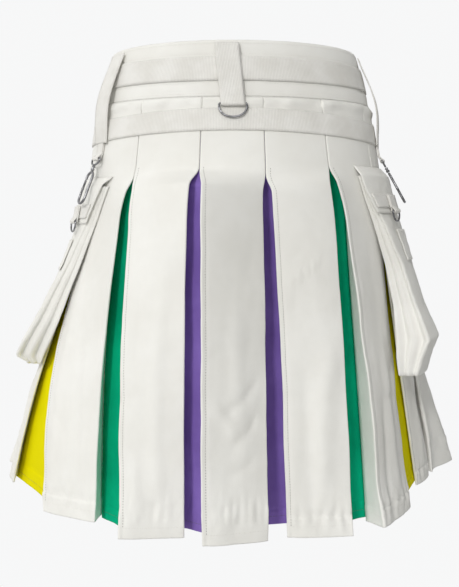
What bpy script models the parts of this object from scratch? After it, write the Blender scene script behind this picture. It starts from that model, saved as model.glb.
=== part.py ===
"""Utility kilt in cotton twill with coloured pleat insets, filled out as if worn.

Metres, +Z up. The origin is on the kilt's centre line at the waist, halfway up the waistband. -Y is the
wearer's back, +Y the front, +X the wearer's right. Angles go round the body from the centre back, towards the
wearer's right.
"""

import math

import bmesh
import bpy
from mathutils import Matrix, Vector

# Thicknesses and gaps
TWILL = 0.0012
WAISTBAND_THICK = 0.0020
WEBBING = 0.0014
SEAM_GAP = 0.0003
LAY_GAP = 0.0005

# Heights, from the waist line at zero
WAIST_TOP = 0.035
WAISTBAND_FOOT = -0.035
SKIRT_TOP = WAISTBAND_FOOT - SEAM_GAP
HEM = -0.561
INSET_HEM = HEM + 0.004

# Level rings of the filled-out form: height, half width on the left and on the right, back depth, front depth
RINGS = (
    (0.035, 0.164, 0.167, 0.117, 0.112),
    (-0.035, 0.183, 0.186, 0.123, 0.120),
    (-0.095, 0.193, 0.197, 0.135, 0.130),
    (-0.205, 0.208, 0.216, 0.1590, 0.1455),
    (-0.400, 0.250, 0.250, 0.203, 0.172),
    (-0.561, 0.275, 0.275, 0.235, 0.190),
)

# Rows of the skirt, top to hem, close together where the pleats open
SKIRT_HEIGHTS = (SKIRT_TOP, -0.062, -0.090, -0.118, -0.138, -0.163, -0.190, -0.230, -0.310, -0.430, HEM)

# Folds: the layers of a closed pleat lie on each other, and a fold turns round a small radius
FOLD_RADIUS = 0.00085
FOLD_STEPS = 3
LEAST_BACKWARD_TURN = 1.5 * math.pi
FOLD_STANDOFF = 0.00165
RETURN_WIDTH = 0.029
INSET_DEPTH = 0.0029
INSET_SAG = 0.0012
INSET_LAP = 0.0015
PANEL_STEPS = 4
PANEL_BULGE = 0.0025
# The side panels lie on the form under the pockets, so an open fold lifts only the cloth beside it
FOLD_PULL = {"side_panel_left": 4.0, "side_panel_right": 4.0}

# Where neighbouring panels meet: angle at the top, how far the slit drifts round below it and the height where the
# drift ends, the height where the pleat starts to open, how fast it opens, and how much of its plan at the hem it
# keeps higher up, 0 being a plan as narrow as the form
DRIFT_TOP, DRIFT_FOOT = -0.115, -0.19
SLITS = {
    "plain_left": (-95.0, 0.0, DRIFT_FOOT, -0.19, 0.87, 0.0),
    "yellow_left": (-65.5, -10.4, -0.35, -0.234, 1.49, 0.84),
    "green_left": (-38.6, -4.5, DRIFT_FOOT, -0.137, 0.43, 0.43),
    "purple_left": (-12.2, -1.8, DRIFT_FOOT, -0.1355, 0.145, 0.86),
    "purple_right": (11.3, -1.0, DRIFT_FOOT, -0.140, 0.19, 0.30),
    "green_right": (36.5, 2.7, DRIFT_FOOT, -0.1206, 0.39, 0.17),
    "yellow_right": (64.5, 5.5, DRIFT_FOOT, -0.154, 0.92, -0.30),
    "plain_right": (96.0, 0.0, DRIFT_FOOT, -0.12, 0.78, 0.0),
    "front": (180.0, 0.0, DRIFT_FOOT, -0.12, 0.9, 0.0),
}

# Box pleat panels: slit on the left, slit on the right, then the plan at the hem of the left return's end, the
# left fold, the right fold and the right return's end
PANELS = {
    "hip_panel_left": (
        "plain_left", "yellow_left", (-0.294, 0.034), (-0.329, 0.048), (-0.315, 0.000), (-0.3195, 0.0265)
    ),
    "side_panel_left": (
        "yellow_left", "green_left", (-0.218, -0.135), (-0.243, -0.124), (-0.173, -0.164), (-0.169, -0.137)
    ),
    "back_panel_left": (
        "green_left", "purple_left", (-0.119, -0.199), (-0.1335, -0.219), (-0.060, -0.214), (-0.067, -0.184)
    ),
    "back_panel_centre": (
        "purple_left", "purple_right", (-0.020, -0.215), (-0.035, -0.242), (0.039, -0.226), (0.028, -0.190)
    ),
    "back_panel_right": (
        "purple_right", "green_right", (0.080, -0.180), (0.065, -0.214), (0.141, -0.211), (0.131, -0.182)
    ),
    "side_panel_right": (
        "green_right", "yellow_right", (0.166, -0.160), (0.182, -0.181), (0.228, -0.109), (0.211, -0.130)
    ),
    "hip_panel_right": (
        "yellow_right", "plain_right", (0.2725, 0.0105), (0.261, -0.014), (0.288, 0.030), (0.256, 0.023)
    ),
}

# Insets behind the slits: left panel's right seam to right panel's left seam
INSETS = {
    "inset_yellow_left": "yellow_left",
    "inset_green_left": "green_left",
    "inset_purple_left": "purple_left",
    "inset_purple_right": "purple_right",
    "inset_green_right": "green_right",
    "inset_yellow_right": "yellow_right",
    "inset_plain_left": "plain_left",
    "inset_plain_right": "plain_right",
}
INSET_STEPS = 4

# Aprons: the front of the hem is a squarer curve than an ellipse
APRON_HEM_HALF_WIDTH = 0.365
APRON_HEM_DEPTH = 0.210
APRON_SQUARENESS = 3.2
APRON_SWING_DEG = 18.0
APRON_STEP_DEG = 10.0
OUTER_APRON_END = -232.0
UNDER_APRON_END = 208.0
OUTER_APRON_SEAM, OUTER_APRON_FOLD = (-0.298, 0.084), (-0.330, 0.060)
UNDER_APRON_SEAM, UNDER_APRON_FOLD = (0.280, 0.082), (0.298, 0.046)
TUCK = 0.0032
TUCK_FROM, TUCK_TO = 113.0, 127.0

# Webbing laid on the waist and over the pleats
TAPE_HEIGHT = 0.030
BAND_HEIGHT = 0.028
BAND_MIDDLE = -0.063
BAND_DROP_AT_SIDES = 0.010
BAND_HALF_SPAN_DEG = 109.0
TAPE_END_DEG = 112.0
TAPE_STEP_DEG, BAND_STEP_DEG = 8.0, 5.0

# Centre-back strap and the D-rings
STRAP_WIDTH = 0.0305
STRAP_TOP = 0.031
STRAP_LEAN = 0.105
STRAP_FOOT_X = -0.0005
STRAP_BACK_OUT, STRAP_FRONT_OUT = 0.0038, 0.0056
LOOP_RADIUS = 0.0026
LOOP_STEPS = 6
LOOP_FROM_DEG, LOOP_TO_DEG = 25.0, -205.0
LOOP_NECK = 2.2
STRAP_BEND_SHARE = 0.6
LOOP_OUT = 0.0056
LOOP_HEIGHT = -0.0440
RING_CORNER = 1.2
RING_ROUNDNESS = 0.8
RING_STEPS = 12
WIRE_SEGMENTS = 1
BACK_RING = {"half_width": 0.0174, "depth": 0.0175, "wire": 0.0013}
POCKET_RING = {"half_width": 0.0118, "depth": 0.0140, "wire": 0.0012}

# Belt loops at the sides: they bow away from the body between their two ends
LOOP_TOP, LOOP_FOOT = 0.029, -0.087
BELT_LOOP_WIDTH = 0.032
BELT_LOOP_STEPS = 8
BOW_SHARPNESS = 1.3
BOW_STEP_FROM, BOW_STEP_LENGTH = 0.35, 0.40
# Angle, bow, and lean of the hook that hangs below
BELT_LOOPS = {"left": (-63.0, 0.0065, 23.0), "right": (81.0, 0.0075, 29.0)}

# Swivel snap hooks: each hangs in a webbing tab below its belt loop and leans on the pocket
TAB_WIDTH = 0.015
TAB_BACK_OUT, TAB_FRONT_OUT = 0.0026, 0.0044
HOOK_BAR_OUT, HOOK_BAR_HEIGHT = 0.0072, -0.1065
HOOK_EYE = {"half_width": 0.0105, "depth": 0.0092, "wire": 0.0013}
SWIVEL_RADIUS, SWIVEL_TOP, SWIVEL_FOOT = 0.0024, 0.0109, 0.0178
HOOK_WIRE, GATE_WIRE = 0.0017, 0.0015
HOOK_HALF_WIDTH = 0.0078
HOOK_SHOULDER, HOOK_NOSE, HOOK_FOOT = 0.0300, 0.0490, 0.0640
GATE_GAP = 0.0008
HOOK_ARC_STEPS = 8

# Cargo pockets, in level rows of the bag: height, angles of the rear edge of the back wall and of the face, then
# distances out from the form, of the back wall at the rear edge and at the front edge, and of the face
POCKETS = {
    "left": {
        "front_deg": -92.0,
        "rows": (
            (-0.144, -52.5, -56.0, 0.0032, 0.0026, 0.0092),
            (-0.165, -55.5, -59.5, 0.0032, 0.0028, 0.0098),
            (-0.190, -58.5, -63.0, 0.0036, 0.0040, 0.0112),
            (-0.212, -61.0, -66.5, 0.0050, 0.0080, 0.0138),
            (-0.245, -64.5, -70.0, 0.0066, 0.0118, 0.0196),
            (-0.276, -67.5, -72.5, 0.0094, 0.0162, 0.0280),
            (-0.320, -70.0, -74.5, 0.0140, 0.0220, 0.0410),
            (-0.350, -73.0, -77.0, 0.0178, 0.0270, 0.0520),
            (-0.370, -76.0, -79.0, 0.0206, 0.0304, 0.0570),
            (-0.379, -77.0, -79.5, 0.0218, 0.0318, 0.0410),
        ),
    },
    "right": {
        "front_deg": 92.0,
        "rows": (
            (-0.130, 51.5, 51.5, 0.0032, 0.0028, 0.0102),
            (-0.150, 53.0, 53.0, 0.0032, 0.0034, 0.0114),
            (-0.168, 54.5, 55.0, 0.0034, 0.0040, 0.0140),
            (-0.190, 57.0, 58.0, 0.0036, 0.0046, 0.0175),
            (-0.245, 61.5, 63.0, 0.0038, 0.0062, 0.0250),
            (-0.300, 62.5, 64.5, 0.0042, 0.0076, 0.0330),
            (-0.342, 60.0, 63.0, 0.0044, 0.0086, 0.0450),
            (-0.364, 58.0, 62.5, 0.0050, 0.0094, 0.0325),
            (-0.386, 57.5, 61.0, 0.0055, 0.0100, 0.0240),
        ),
    },
}
POCKET_STEPS = 6
SMALL_FLAP_STEPS = 3
BELLOWS_SHARE = 0.30
BELLOWS = ((0.25, 1.0), (0.50, 0.15), (0.75, 1.0))
# Heights on a pocket, down from its mouth
FLAP_TOP, FLAP_FOOT = 0.012, -0.048
FLAP_OVERHANG = 0.05
FLAP_CLEAR = 0.0021
FLAP_BAND = (-0.041, -0.023)
SMALL_FLAP = {"heights": (-0.110, -0.090, -0.069), "from_share": 0.22, "to_share": 0.70}
RING_TAB_WIDTH = 0.020
RING_TAB_SHARE = 0.30
RING_TAB_TOP, RING_TAB_BAR = -0.025, -0.0445
POCKET_RING_LEAN_DEG = 8.0
BACK_RING_LEAN_DEG = 14.0

# Snap studs on the lap of the waistband
STUD_RADIUS, STUD_HEIGHT = 0.0070, 0.0022
STUD_TAPER = 0.8
STUD_SEGMENTS = 20
SHARP_DEG = 40.0
STUD_ANGLES = (-226.0, -211.0)


def lerp(a, b, t):
    return a + (b - a) * t


def smooth(t):
    t = min(1.0, max(0.0, t))
    return t * t * (3 - 2 * t)


def ring_sizes(z):
    """The form's sizes at a height, in the order of the rings' columns, on curves through the rings."""
    heights = [row[0] for row in RINGS]
    last = len(RINGS) - 1
    if z >= heights[0]:
        return RINGS[0][1:]
    if z <= heights[last]:
        return RINGS[last][1:]
    k = next(i for i in range(last) if heights[i] >= z > heights[i + 1])
    span = heights[k + 1] - heights[k]
    t = (z - heights[k]) / span
    sizes = []
    for column in range(1, len(RINGS[0])):
        def slope(i):
            low, high = max(0, i - 1), min(last, i + 1)
            return (RINGS[high][column] - RINGS[low][column]) / (heights[high] - heights[low])
        p0, p1 = RINGS[k][column], RINGS[k + 1][column]
        m0, m1 = slope(k) * span, slope(k + 1) * span
        sizes.append(
            (2 * t**3 - 3 * t**2 + 1) * p0 + (t**3 - 2 * t**2 + t) * m0
            + (3 * t**2 - 2 * t**3) * p1 + (t**3 - t**2) * m1
        )
    return sizes


def quarter_sizes(angle_deg, z):
    """Half width and depth of the form in the quarter where an angle lies."""
    left, right, back, front = ring_sizes(z)
    angle = math.radians(angle_deg)
    return right if math.sin(angle) >= 0 else left, back if math.cos(angle) >= 0 else front


def ring_point(angle_deg, z, out=0.0):
    """A point of the form at an angle and a height, moved level away from it by out."""
    half, depth = quarter_sizes(angle_deg, z)
    angle = math.radians(angle_deg)
    x, y = half * math.sin(angle), -depth * math.cos(angle)
    normal = Vector((x / half**2, y / depth**2, 0)).normalized()
    return Vector((x, y, z)) + normal * out


def metres_per_degree(angle_deg, z):
    half, depth = quarter_sizes(angle_deg, z)
    angle = math.radians(angle_deg)
    return math.hypot(half * math.cos(angle), depth * math.sin(angle)) * math.pi / 180


def slit_angle(slit, z):
    """Angle at which the folds of a slit meet, while it is closed at this height."""
    angle, drift, drift_foot = SLITS[slit][:3]
    return angle + drift * smooth((DRIFT_TOP - z) / (DRIFT_TOP - drift_foot))


def openness(slit, z):
    """How far a slit has opened at a height: 0 closed, 1 at the hem."""
    opens_at, growth = SLITS[slit][3:5]
    if z >= opens_at:
        return 0.0
    return ((opens_at - z) / (opens_at - HEM)) ** growth


def hem_point(plan, slit, z):
    """A plan point of the hem beside a slit, carried up to a height."""
    kept = SLITS[slit][5]
    angle = math.degrees(math.atan2(plan[0], -plan[1]))
    sizes = zip(quarter_sizes(angle, z), quarter_sizes(angle, HEM))
    width, depth = (lerp(here / at_hem, 1, kept) for here, at_hem in sizes)
    return Vector((plan[0] * width, plan[1] * depth, z))


def tuck(angle_deg):
    """How far the lap that lies underneath in front is drawn in."""
    return TUCK * smooth((angle_deg - TUCK_FROM) / (TUCK_TO - TUCK_FROM))


def colour_material(name, rgb, roughness=0.9, metallic=0.0):
    material = bpy.data.materials.get(name)
    if material is None:
        material = bpy.data.materials.new(name)
        material.use_nodes = True
        shader = material.node_tree.nodes["Principled BSDF"]
        shader.inputs["Base Color"].default_value = (*rgb, 1.0)
        shader.inputs["Roughness"].default_value = roughness
        shader.inputs["Metallic"].default_value = metallic
        material.diffuse_color = (*rgb, 1.0)
    return material


COTTON = ("cotton twill", (0.80, 0.79, 0.75))
COTTON_WEBBING = ("cotton webbing", (0.78, 0.76, 0.72))
PURPLE = ("purple twill", (0.16, 0.08, 0.33))
GREEN = ("green twill", (0.0, 0.30, 0.13))
YELLOW = ("yellow twill", (0.92, 0.84, 0.0))
STEEL = ("dark steel", (0.22, 0.22, 0.24), 0.3, 1.0)


def add_object(name, mesh, finish):
    mesh.materials.append(colour_material(*finish))
    obj = bpy.data.objects.new(name, mesh)
    bpy.context.scene.collection.objects.link(obj)
    return obj


def cloth_sheet(name, rows, thickness, finish, ring=False):
    """A wall of cloth on a grid of middle points. Rows run upwards, each from the wearer's left to right."""
    row_count, column_count = len(rows), len(rows[0])
    sheet = bmesh.new()
    bmesh.ops.create_grid(sheet, x_segments=column_count - 1, y_segments=row_count - 1, size=0.5)
    for vert in sheet.verts:
        column = round((vert.co.x + 0.5) * (column_count - 1))
        row = round((vert.co.y + 0.5) * (row_count - 1))
        vert.co = rows[row][column]
    if ring:
        bmesh.ops.remove_doubles(sheet, verts=sheet.verts, dist=0.00001)
    mesh = bpy.data.meshes.new(name)
    sheet.to_mesh(mesh)
    sheet.free()
    obj = add_object(name, mesh, finish)
    wall = obj.modifiers.new("wall", "SOLIDIFY")
    wall.thickness = thickness
    wall.offset = 0.0
    wall.use_even_offset = True
    return obj


def offset_path(points, out, corner_steps):
    """A level path moved to its right-hand side by out, with an arc at each listed corner.

    points is a list of (point, corner) pairs; a corner turns round a small arc, the rest are joined directly.
    """
    flat = [p for p, _ in points]
    normals = []
    for a, b in zip(flat, flat[1:]):
        step = (b - a).to_2d()
        normals.append(Vector((step.y, -step.x)).normalized())
    path = []
    for i, (point, corner) in enumerate(points):
        before = normals[max(0, i - 1)]
        after = normals[min(len(normals) - 1, i)]
        if corner:
            start = math.atan2(before.y, before.x)
            turn = (math.atan2(after.y, after.x) - start) % (2 * math.pi)
            if turn > LEAST_BACKWARD_TURN:
                turn = 0.0
            for k in range(corner_steps + 1):
                angle = start + turn * k / corner_steps
                path.append(point + Vector((math.cos(angle), math.sin(angle), 0)) * out)
        else:
            normal = (before + after).normalized()
            path.append(point + normal.to_3d() * out)
    return path


def closed_angles(slit, side, z):
    """Angles of a fold and of its return's end beside a closed slit. side is 1 to its right, -1 to its left."""
    angle = slit_angle(slit, z)
    scale = metres_per_degree(angle, z)
    return angle + side * FOLD_STANDOFF / scale, angle + side * (FOLD_STANDOFF + RETURN_WIDTH) / scale


def heading(vector):
    return math.atan2(vector.y, vector.x)


def pleat_path(slit, side, z, seam, fold):
    """The fold, the middle of the return and its end, as plan points at a height.

    The return lies behind the panel while the pleat is closed, and swings inwards round the fold as it opens.
    """
    k = openness(slit, z)
    fold_deg, end_deg = closed_angles(slit, side, z)
    closed = [ring_point(lerp(fold_deg, end_deg, q), z) for q in (0.0, 0.5, 1.0)]
    hem_fold, hem_seam = hem_point(fold, slit, z), hem_point(seam, slit, z)
    lying, standing = closed[2] - closed[0], hem_seam - hem_fold
    turn = side * (heading(standing) - heading(lying)) % (2 * math.pi)
    if turn > LEAST_BACKWARD_TURN:
        turn -= 2 * math.pi
    swing = Matrix.Rotation(side * turn * k, 3, "Z") * lerp(1, standing.length / lying.length, k)
    fold_point = closed[0].lerp(hem_fold, k)
    return [fold_point + swing @ (p - closed[0]) for p in closed], fold_deg, k


def bow(start_deg, end_deg, z, w):
    """How far the form stands out from the straight line between two of its points, at a share of the way."""
    chord = ring_point(start_deg, z).lerp(ring_point(end_deg, z), w)
    return ring_point(lerp(start_deg, end_deg, w), z) - chord


def panel_row(name, z):
    slit_left, slit_right, left_seam, left_fold, right_fold, right_seam = PANELS[name]
    left, left_deg, left_k = pleat_path(slit_left, 1, z, left_seam, left_fold)
    right, right_deg, right_k = pleat_path(slit_right, -1, z, right_seam, right_fold)
    along = (right[0] - left[0]).normalized()
    outward = Vector((along.y, -along.x, 0))
    left_rest, right_rest = ring_point(left_deg, z), ring_point(right_deg, z)
    pull = FOLD_PULL.get(name, 1.0)
    across = []
    for i in range(1, PANEL_STEPS):
        w = i / PANEL_STEPS
        k = lerp(left_k, right_k, w)
        point = left_rest.lerp(right_rest, w) + bow(left_deg, right_deg, z, w) * (1 - k)
        point += (left[0] - left_rest) * (1 - w) ** lerp(pull, 1, right_k)
        point += (right[0] - right_rest) * w ** lerp(pull, 1, left_k)
        across.append(point + outward * PANEL_BULGE * 4 * w * (1 - w) * k)
    points = [(left[2], False), (left[1], False), (left[0], True)]
    points += [(p, False) for p in across]
    points += [(right[0], True), (right[1], False), (right[2], False)]
    return offset_path(points, FOLD_RADIUS, FOLD_STEPS)


def make_panels():
    for name in PANELS:
        rows = [panel_row(name, z) for z in reversed(SKIRT_HEIGHTS)]
        cloth_sheet(name, rows, TWILL, COTTON)


def apron_ring(angle_deg, z):
    """The aprons' line when they have swung out to the hem's curve."""
    half, depth = quarter_sizes(angle_deg, z)
    hem_half, hem_depth = quarter_sizes(angle_deg, HEM)
    power = 2 / APRON_SQUARENESS
    angle = math.radians(angle_deg)
    x = math.copysign(abs(math.sin(angle)) ** power, math.sin(angle)) * APRON_HEM_HALF_WIDTH * half / hem_half
    y = math.copysign(abs(math.cos(angle)) ** power, -math.cos(angle)) * APRON_HEM_DEPTH * depth / hem_depth
    return Vector((x, y, z))


def apron_row(z, slit, side, seam, fold, end_deg, tucked):
    """An apron's level path, from its return round to its free edge. side is the way it leaves the slit."""
    pleat, fold_deg, k = pleat_path(slit, side, z, seam, fold)
    count = round(abs(end_deg - fold_deg) / APRON_STEP_DEG)
    points = [(pleat[2], False), (pleat[1], False), (pleat[0], True)]
    from_fold = hem_point(fold, slit, z) - apron_ring(fold_deg, z)
    for i in range(1, count + 1):
        angle = lerp(fold_deg, end_deg, i / count)
        swing = 1 - smooth(abs(angle - fold_deg) / APRON_SWING_DEG)
        spread = lerp(openness("front", z), k, swing)
        point = ring_point(angle, z).lerp(apron_ring(angle, z) + from_fold * swing, spread)
        inward = -Vector((point.x, point.y, 0)).normalized()
        if tucked:
            point = point + inward * tuck(angle)
        points.append((point, False))
    if side < 0:
        points.reverse()
    return offset_path(points, FOLD_RADIUS, FOLD_STEPS)


def make_aprons():
    heights = list(reversed(SKIRT_HEIGHTS))
    outer = [
        apron_row(z, "plain_left", -1, OUTER_APRON_SEAM, OUTER_APRON_FOLD, OUTER_APRON_END, False)
        for z in heights
    ]
    cloth_sheet("apron_outer", outer, TWILL, COTTON)
    under = [
        apron_row(z, "plain_right", 1, UNDER_APRON_SEAM, UNDER_APRON_FOLD, UNDER_APRON_END, True)
        for z in heights
    ]
    cloth_sheet("apron_under", under, TWILL, COTTON)


def returns_beside(slit):
    """Hem plan, seam then fold, of the two returns that an inset joins, the left one first."""
    left = {row[1]: (row[5], row[4]) for row in PANELS.values()}
    right = {row[0]: (row[2], row[3]) for row in PANELS.values()}
    left["plain_left"] = OUTER_APRON_SEAM, OUTER_APRON_FOLD
    right["plain_right"] = UNDER_APRON_SEAM, UNDER_APRON_FOLD
    return left[slit], right[slit]


def inset_row(slit, z):
    left, right = returns_beside(slit)
    start = pleat_path(slit, -1, z, *left)[0][2]
    end = pleat_path(slit, 1, z, *right)[0][2]
    k = openness(slit, z)
    left_deg, right_deg = (closed_angles(slit, side, z)[1] for side in (-1, 1))
    shares = [i / INSET_STEPS for i in range(INSET_STEPS + 1)]
    points = [start.lerp(end, w) + bow(left_deg, right_deg, z, w) * (1 - k) for w in shares]
    points[0] = points[0] - (points[1] - points[0]).normalized() * INSET_LAP
    points[-1] = points[-1] + (points[-1] - points[-2]).normalized() * INSET_LAP
    depth = INSET_DEPTH + INSET_SAG * 4 * k * (1 - k)
    return offset_path([(p, False) for p in points], -depth, 0)


def make_insets():
    colours = {"yellow": YELLOW, "green": GREEN, "purple": PURPLE, "plain": COTTON}
    heights = [INSET_HEM] + list(reversed(SKIRT_HEIGHTS[:-1]))
    for name, slit in INSETS.items():
        rows = [inset_row(slit, z) for z in heights]
        cloth_sheet(name, rows, TWILL, colours[slit.split("_")[0]])


def ring_strip(start_deg, end_deg, step_deg, heights, out):
    """Rows of a strip round the form. heights and out are functions of the angle."""
    count = round((end_deg - start_deg) / step_deg)
    angles = [lerp(start_deg, end_deg, i / count) for i in range(count + 1)]
    levels = len(heights(0.0))
    return [[ring_point(a, heights(a)[level], out(a)) for a in angles] for level in range(levels)]


TAPE_OUT = WAISTBAND_THICK / 2 + LAY_GAP + WEBBING / 2
PANEL_FACE = FOLD_RADIUS + TWILL / 2
BAND_OUT = PANEL_FACE + LAY_GAP + WEBBING / 2
BAND_FACE = BAND_OUT + WEBBING / 2


def band_middle(angle_deg):
    return BAND_MIDDLE - BAND_DROP_AT_SIDES * math.sin(math.radians(angle_deg)) ** 2


def make_bands():
    waistband = ring_strip(
        OUTER_APRON_END, UNDER_APRON_END, TAPE_STEP_DEG,
        lambda a: (WAISTBAND_FOOT, 0.0, WAIST_TOP), lambda a: -tuck(a),
    )
    cloth_sheet("waistband", waistband, WAISTBAND_THICK, COTTON)
    tape = ring_strip(
        OUTER_APRON_END, TAPE_END_DEG, TAPE_STEP_DEG,
        lambda a: (-TAPE_HEIGHT / 2, TAPE_HEIGHT / 2), lambda a: TAPE_OUT - tuck(a),
    )
    cloth_sheet("upper_tape", tape, WEBBING, COTTON_WEBBING)
    band = ring_strip(
        -BAND_HALF_SPAN_DEG, BAND_HALF_SPAN_DEG, BAND_STEP_DEG,
        lambda a: (band_middle(a) - BAND_HEIGHT / 2, band_middle(a) + BAND_HEIGHT / 2),
        lambda a: BAND_OUT,
    )
    cloth_sheet("lower_band", band, WEBBING, COTTON_WEBBING)


def looped_profile(top, back_out, front_out, loop_out, loop_height):
    """Out and height along a doubled strap: down its front layer, round the loop, and up its back layer."""
    straight = (top, lerp(top, loop_height, STRAP_BEND_SHARE), loop_height + LOOP_RADIUS * LOOP_NECK)
    profile = [(front_out, z) for z in straight]
    for i in range(LOOP_STEPS + 1):
        angle = math.radians(lerp(LOOP_FROM_DEG, LOOP_TO_DEG, i / LOOP_STEPS))
        profile.append((loop_out + LOOP_RADIUS * math.cos(angle), loop_height + LOOP_RADIUS * math.sin(angle)))
    return profile + [(back_out, z) for z in reversed(straight)]


def wire_loop(name, points, radius, finish, origin):
    """A closed ring of round wire through the points. Its origin is the point that it turns about."""
    curve = bpy.data.curves.new(name, "CURVE")
    curve.dimensions = "3D"
    curve.bevel_depth = radius
    curve.bevel_resolution = WIRE_SEGMENTS
    spline = curve.splines.new("POLY")
    spline.points.add(len(points) - 1)
    for target, point in zip(spline.points, points):
        target.co = (*(point - origin), 1.0)
    spline.use_cyclic_u = True
    spline.use_smooth = True
    curve.materials.append(colour_material(*finish))
    obj = bpy.data.objects.new(name, curve)
    obj.location = origin
    bpy.context.scene.collection.objects.link(obj)
    return obj


def d_ring_points(centre, side, down, half_width, depth, wire):
    """A D hanging from its straight bar: side runs along the bar, down the way it hangs."""
    corner = wire * RING_CORNER
    points = [centre + side * (half_width - corner) * s for s in (-1, 0, 1)]
    for i in range(RING_STEPS + 1):
        angle = math.pi * i / RING_STEPS
        points.append(
            centre + side * half_width * math.cos(angle)
            + down * (corner + (depth - corner) * math.sin(angle) ** RING_ROUNDNESS)
        )
    return points


def strap_frame(angle_deg, z):
    """Outward and sideways level directions at an angle of the form."""
    outward = (ring_point(angle_deg, z, 1.0) - ring_point(angle_deg, z)).normalized()
    return outward, Vector((-outward.y, outward.x, 0))


def make_back_strap():
    profile = looped_profile(STRAP_TOP, STRAP_BACK_OUT, STRAP_FRONT_OUT, LOOP_OUT, LOOP_HEIGHT)
    half = STRAP_WIDTH / 2
    rows = []
    for out, z in profile:
        shift = STRAP_FOOT_X - STRAP_LEAN * (z - LOOP_HEIGHT)
        depth = ring_point(0.0, z, out).y
        rows.append([Vector((shift + half * s, depth, z)) for s in (-1, 0, 1)])
    rows.reverse()
    cloth_sheet("back_strap", rows, WEBBING, COTTON_WEBBING)
    bar = Vector((STRAP_FOOT_X, ring_point(0.0, LOOP_HEIGHT, LOOP_OUT).y, LOOP_HEIGHT))
    lean = math.radians(BACK_RING_LEAN_DEG)
    down = Vector((0, -math.sin(lean), -math.cos(lean)))
    points = d_ring_points(bar, Vector((1, 0, 0)), down, **BACK_RING)
    wire_loop("d_ring_back", points, BACK_RING["wire"], STEEL, bar)


def make_belt_loops():
    for side_name, (angle, bow, _) in BELT_LOOPS.items():
        rows = []
        for i in range(BELT_LOOP_STEPS + 1):
            t = i / BELT_LOOP_STEPS
            z = lerp(LOOP_FOOT, LOOP_TOP, t)
            rise = smooth((t - BOW_STEP_FROM) / BOW_STEP_LENGTH)
            seat = lerp(BAND_FACE, TAPE_OUT + WEBBING / 2, rise) + SEAM_GAP + WEBBING / 2
            out = seat + bow * math.sin(math.pi * t) ** BOW_SHARPNESS
            middle = ring_point(angle, z, out)
            _, side = strap_frame(angle, z)
            rows.append([middle + side * BELT_LOOP_WIDTH / 2 * s for s in (-1, 0, 1)])
        cloth_sheet("belt_loop_" + side_name, rows, WEBBING, COTTON_WEBBING)


def hanging_tab(name, angle, width, profile):
    """A doubled webbing tab, straight across, that follows a profile of out and height at one angle."""
    rows = []
    for out, z in profile:
        middle = ring_point(angle, z, out)
        _, side = strap_frame(angle, z)
        rows.append([middle + side * width / 2 * s for s in (-1, 0, 1)])
    rows.reverse()
    cloth_sheet(name, rows, WEBBING, COTTON_WEBBING)


def wire_path(name, points, radius, finish, origin):
    """A length of round wire with flat ends."""
    obj = wire_loop(name, points, radius, finish, origin)
    obj.data.splines[0].use_cyclic_u = False
    obj.data.use_fill_caps = True
    return obj


def arc_points(centre, across, down, radius, start_deg, end_deg, steps):
    angles = [math.radians(lerp(start_deg, end_deg, i / steps)) for i in range(steps + 1)]
    return [centre + across * radius * math.cos(a) + down * radius * math.sin(a) for a in angles]


def make_hook(side_name):
    angle, _, lean_deg = BELT_LOOPS[side_name]
    gap = SEAM_GAP
    profile = looped_profile(LOOP_FOOT - gap, TAB_BACK_OUT, TAB_FRONT_OUT, HOOK_BAR_OUT, HOOK_BAR_HEIGHT)
    hanging_tab("hook_tab_" + side_name, angle, TAB_WIDTH, profile)
    bar = ring_point(angle, HOOK_BAR_HEIGHT, HOOK_BAR_OUT)
    outward, across = strap_frame(angle, HOOK_BAR_HEIGHT)
    lean = math.radians(lean_deg)
    down = outward * math.sin(lean) - Vector((0, 0, 1)) * math.cos(lean)
    eye = d_ring_points(bar, across, down, **HOOK_EYE)
    wire_loop("hook_eye_" + side_name, eye, HOOK_EYE["wire"], STEEL, bar)
    swivel = [bar + down * SWIVEL_TOP, bar + down * SWIVEL_FOOT]
    wire_path("hook_swivel_" + side_name, swivel, SWIVEL_RADIUS, STEEL, bar)
    crown = SWIVEL_FOOT + gap + HOOK_WIRE
    top_centre = bar + down * (crown + HOOK_HALF_WIDTH)
    foot_centre = bar + down * (HOOK_FOOT - HOOK_HALF_WIDTH)
    spine = [bar - across * HOOK_HALF_WIDTH + down * HOOK_SHOULDER]
    spine += arc_points(top_centre, across, down, HOOK_HALF_WIDTH, 180, 360, HOOK_ARC_STEPS)
    spine += arc_points(foot_centre, across, down, HOOK_HALF_WIDTH, 0, 180, HOOK_ARC_STEPS)
    spine.append(bar - across * HOOK_HALF_WIDTH + down * HOOK_NOSE)
    wire_path("hook_loop_" + side_name, spine, HOOK_WIRE, STEEL, bar)
    gate = [bar - across * HOOK_HALF_WIDTH + down * d for d in (HOOK_SHOULDER + GATE_GAP, HOOK_NOSE - gap)]
    wire_path("hook_gate_" + side_name, gate, GATE_WIRE, STEEL, gate[0])


def pocket_level(pocket, z):
    """The pocket's columns at a height: rear_deg, face_deg, back_at_rear, back_at_front, face."""
    rows = pocket["rows"]
    z = min(rows[0][0], max(rows[-1][0], z))
    for upper, lower in zip(rows, rows[1:]):
        if upper[0] >= z >= lower[0]:
            t = (upper[0] - z) / (upper[0] - lower[0])
            return [lerp(a, b, t) for a, b in zip(upper[1:], lower[1:])]


def pocket_point(pocket, z, share, out):
    """A point of the pocket, share running from its rear edge to its front edge.

    The rear edge lies further forward the further out it is, from the back wall to the face.
    """
    rear_deg, face_deg, back_at_rear, _, face = pocket_level(pocket, z)
    reach = min(1.0, max(0.0, (out - back_at_rear) / (face - back_at_rear)))
    return ring_point(lerp(lerp(rear_deg, face_deg, reach), pocket["front_deg"], share), z, out)


def left_to_right(pocket, shares):
    """The shares in order from the wearer's left to the right."""
    return sorted(shares, reverse=pocket["front_deg"] < 0)


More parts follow.
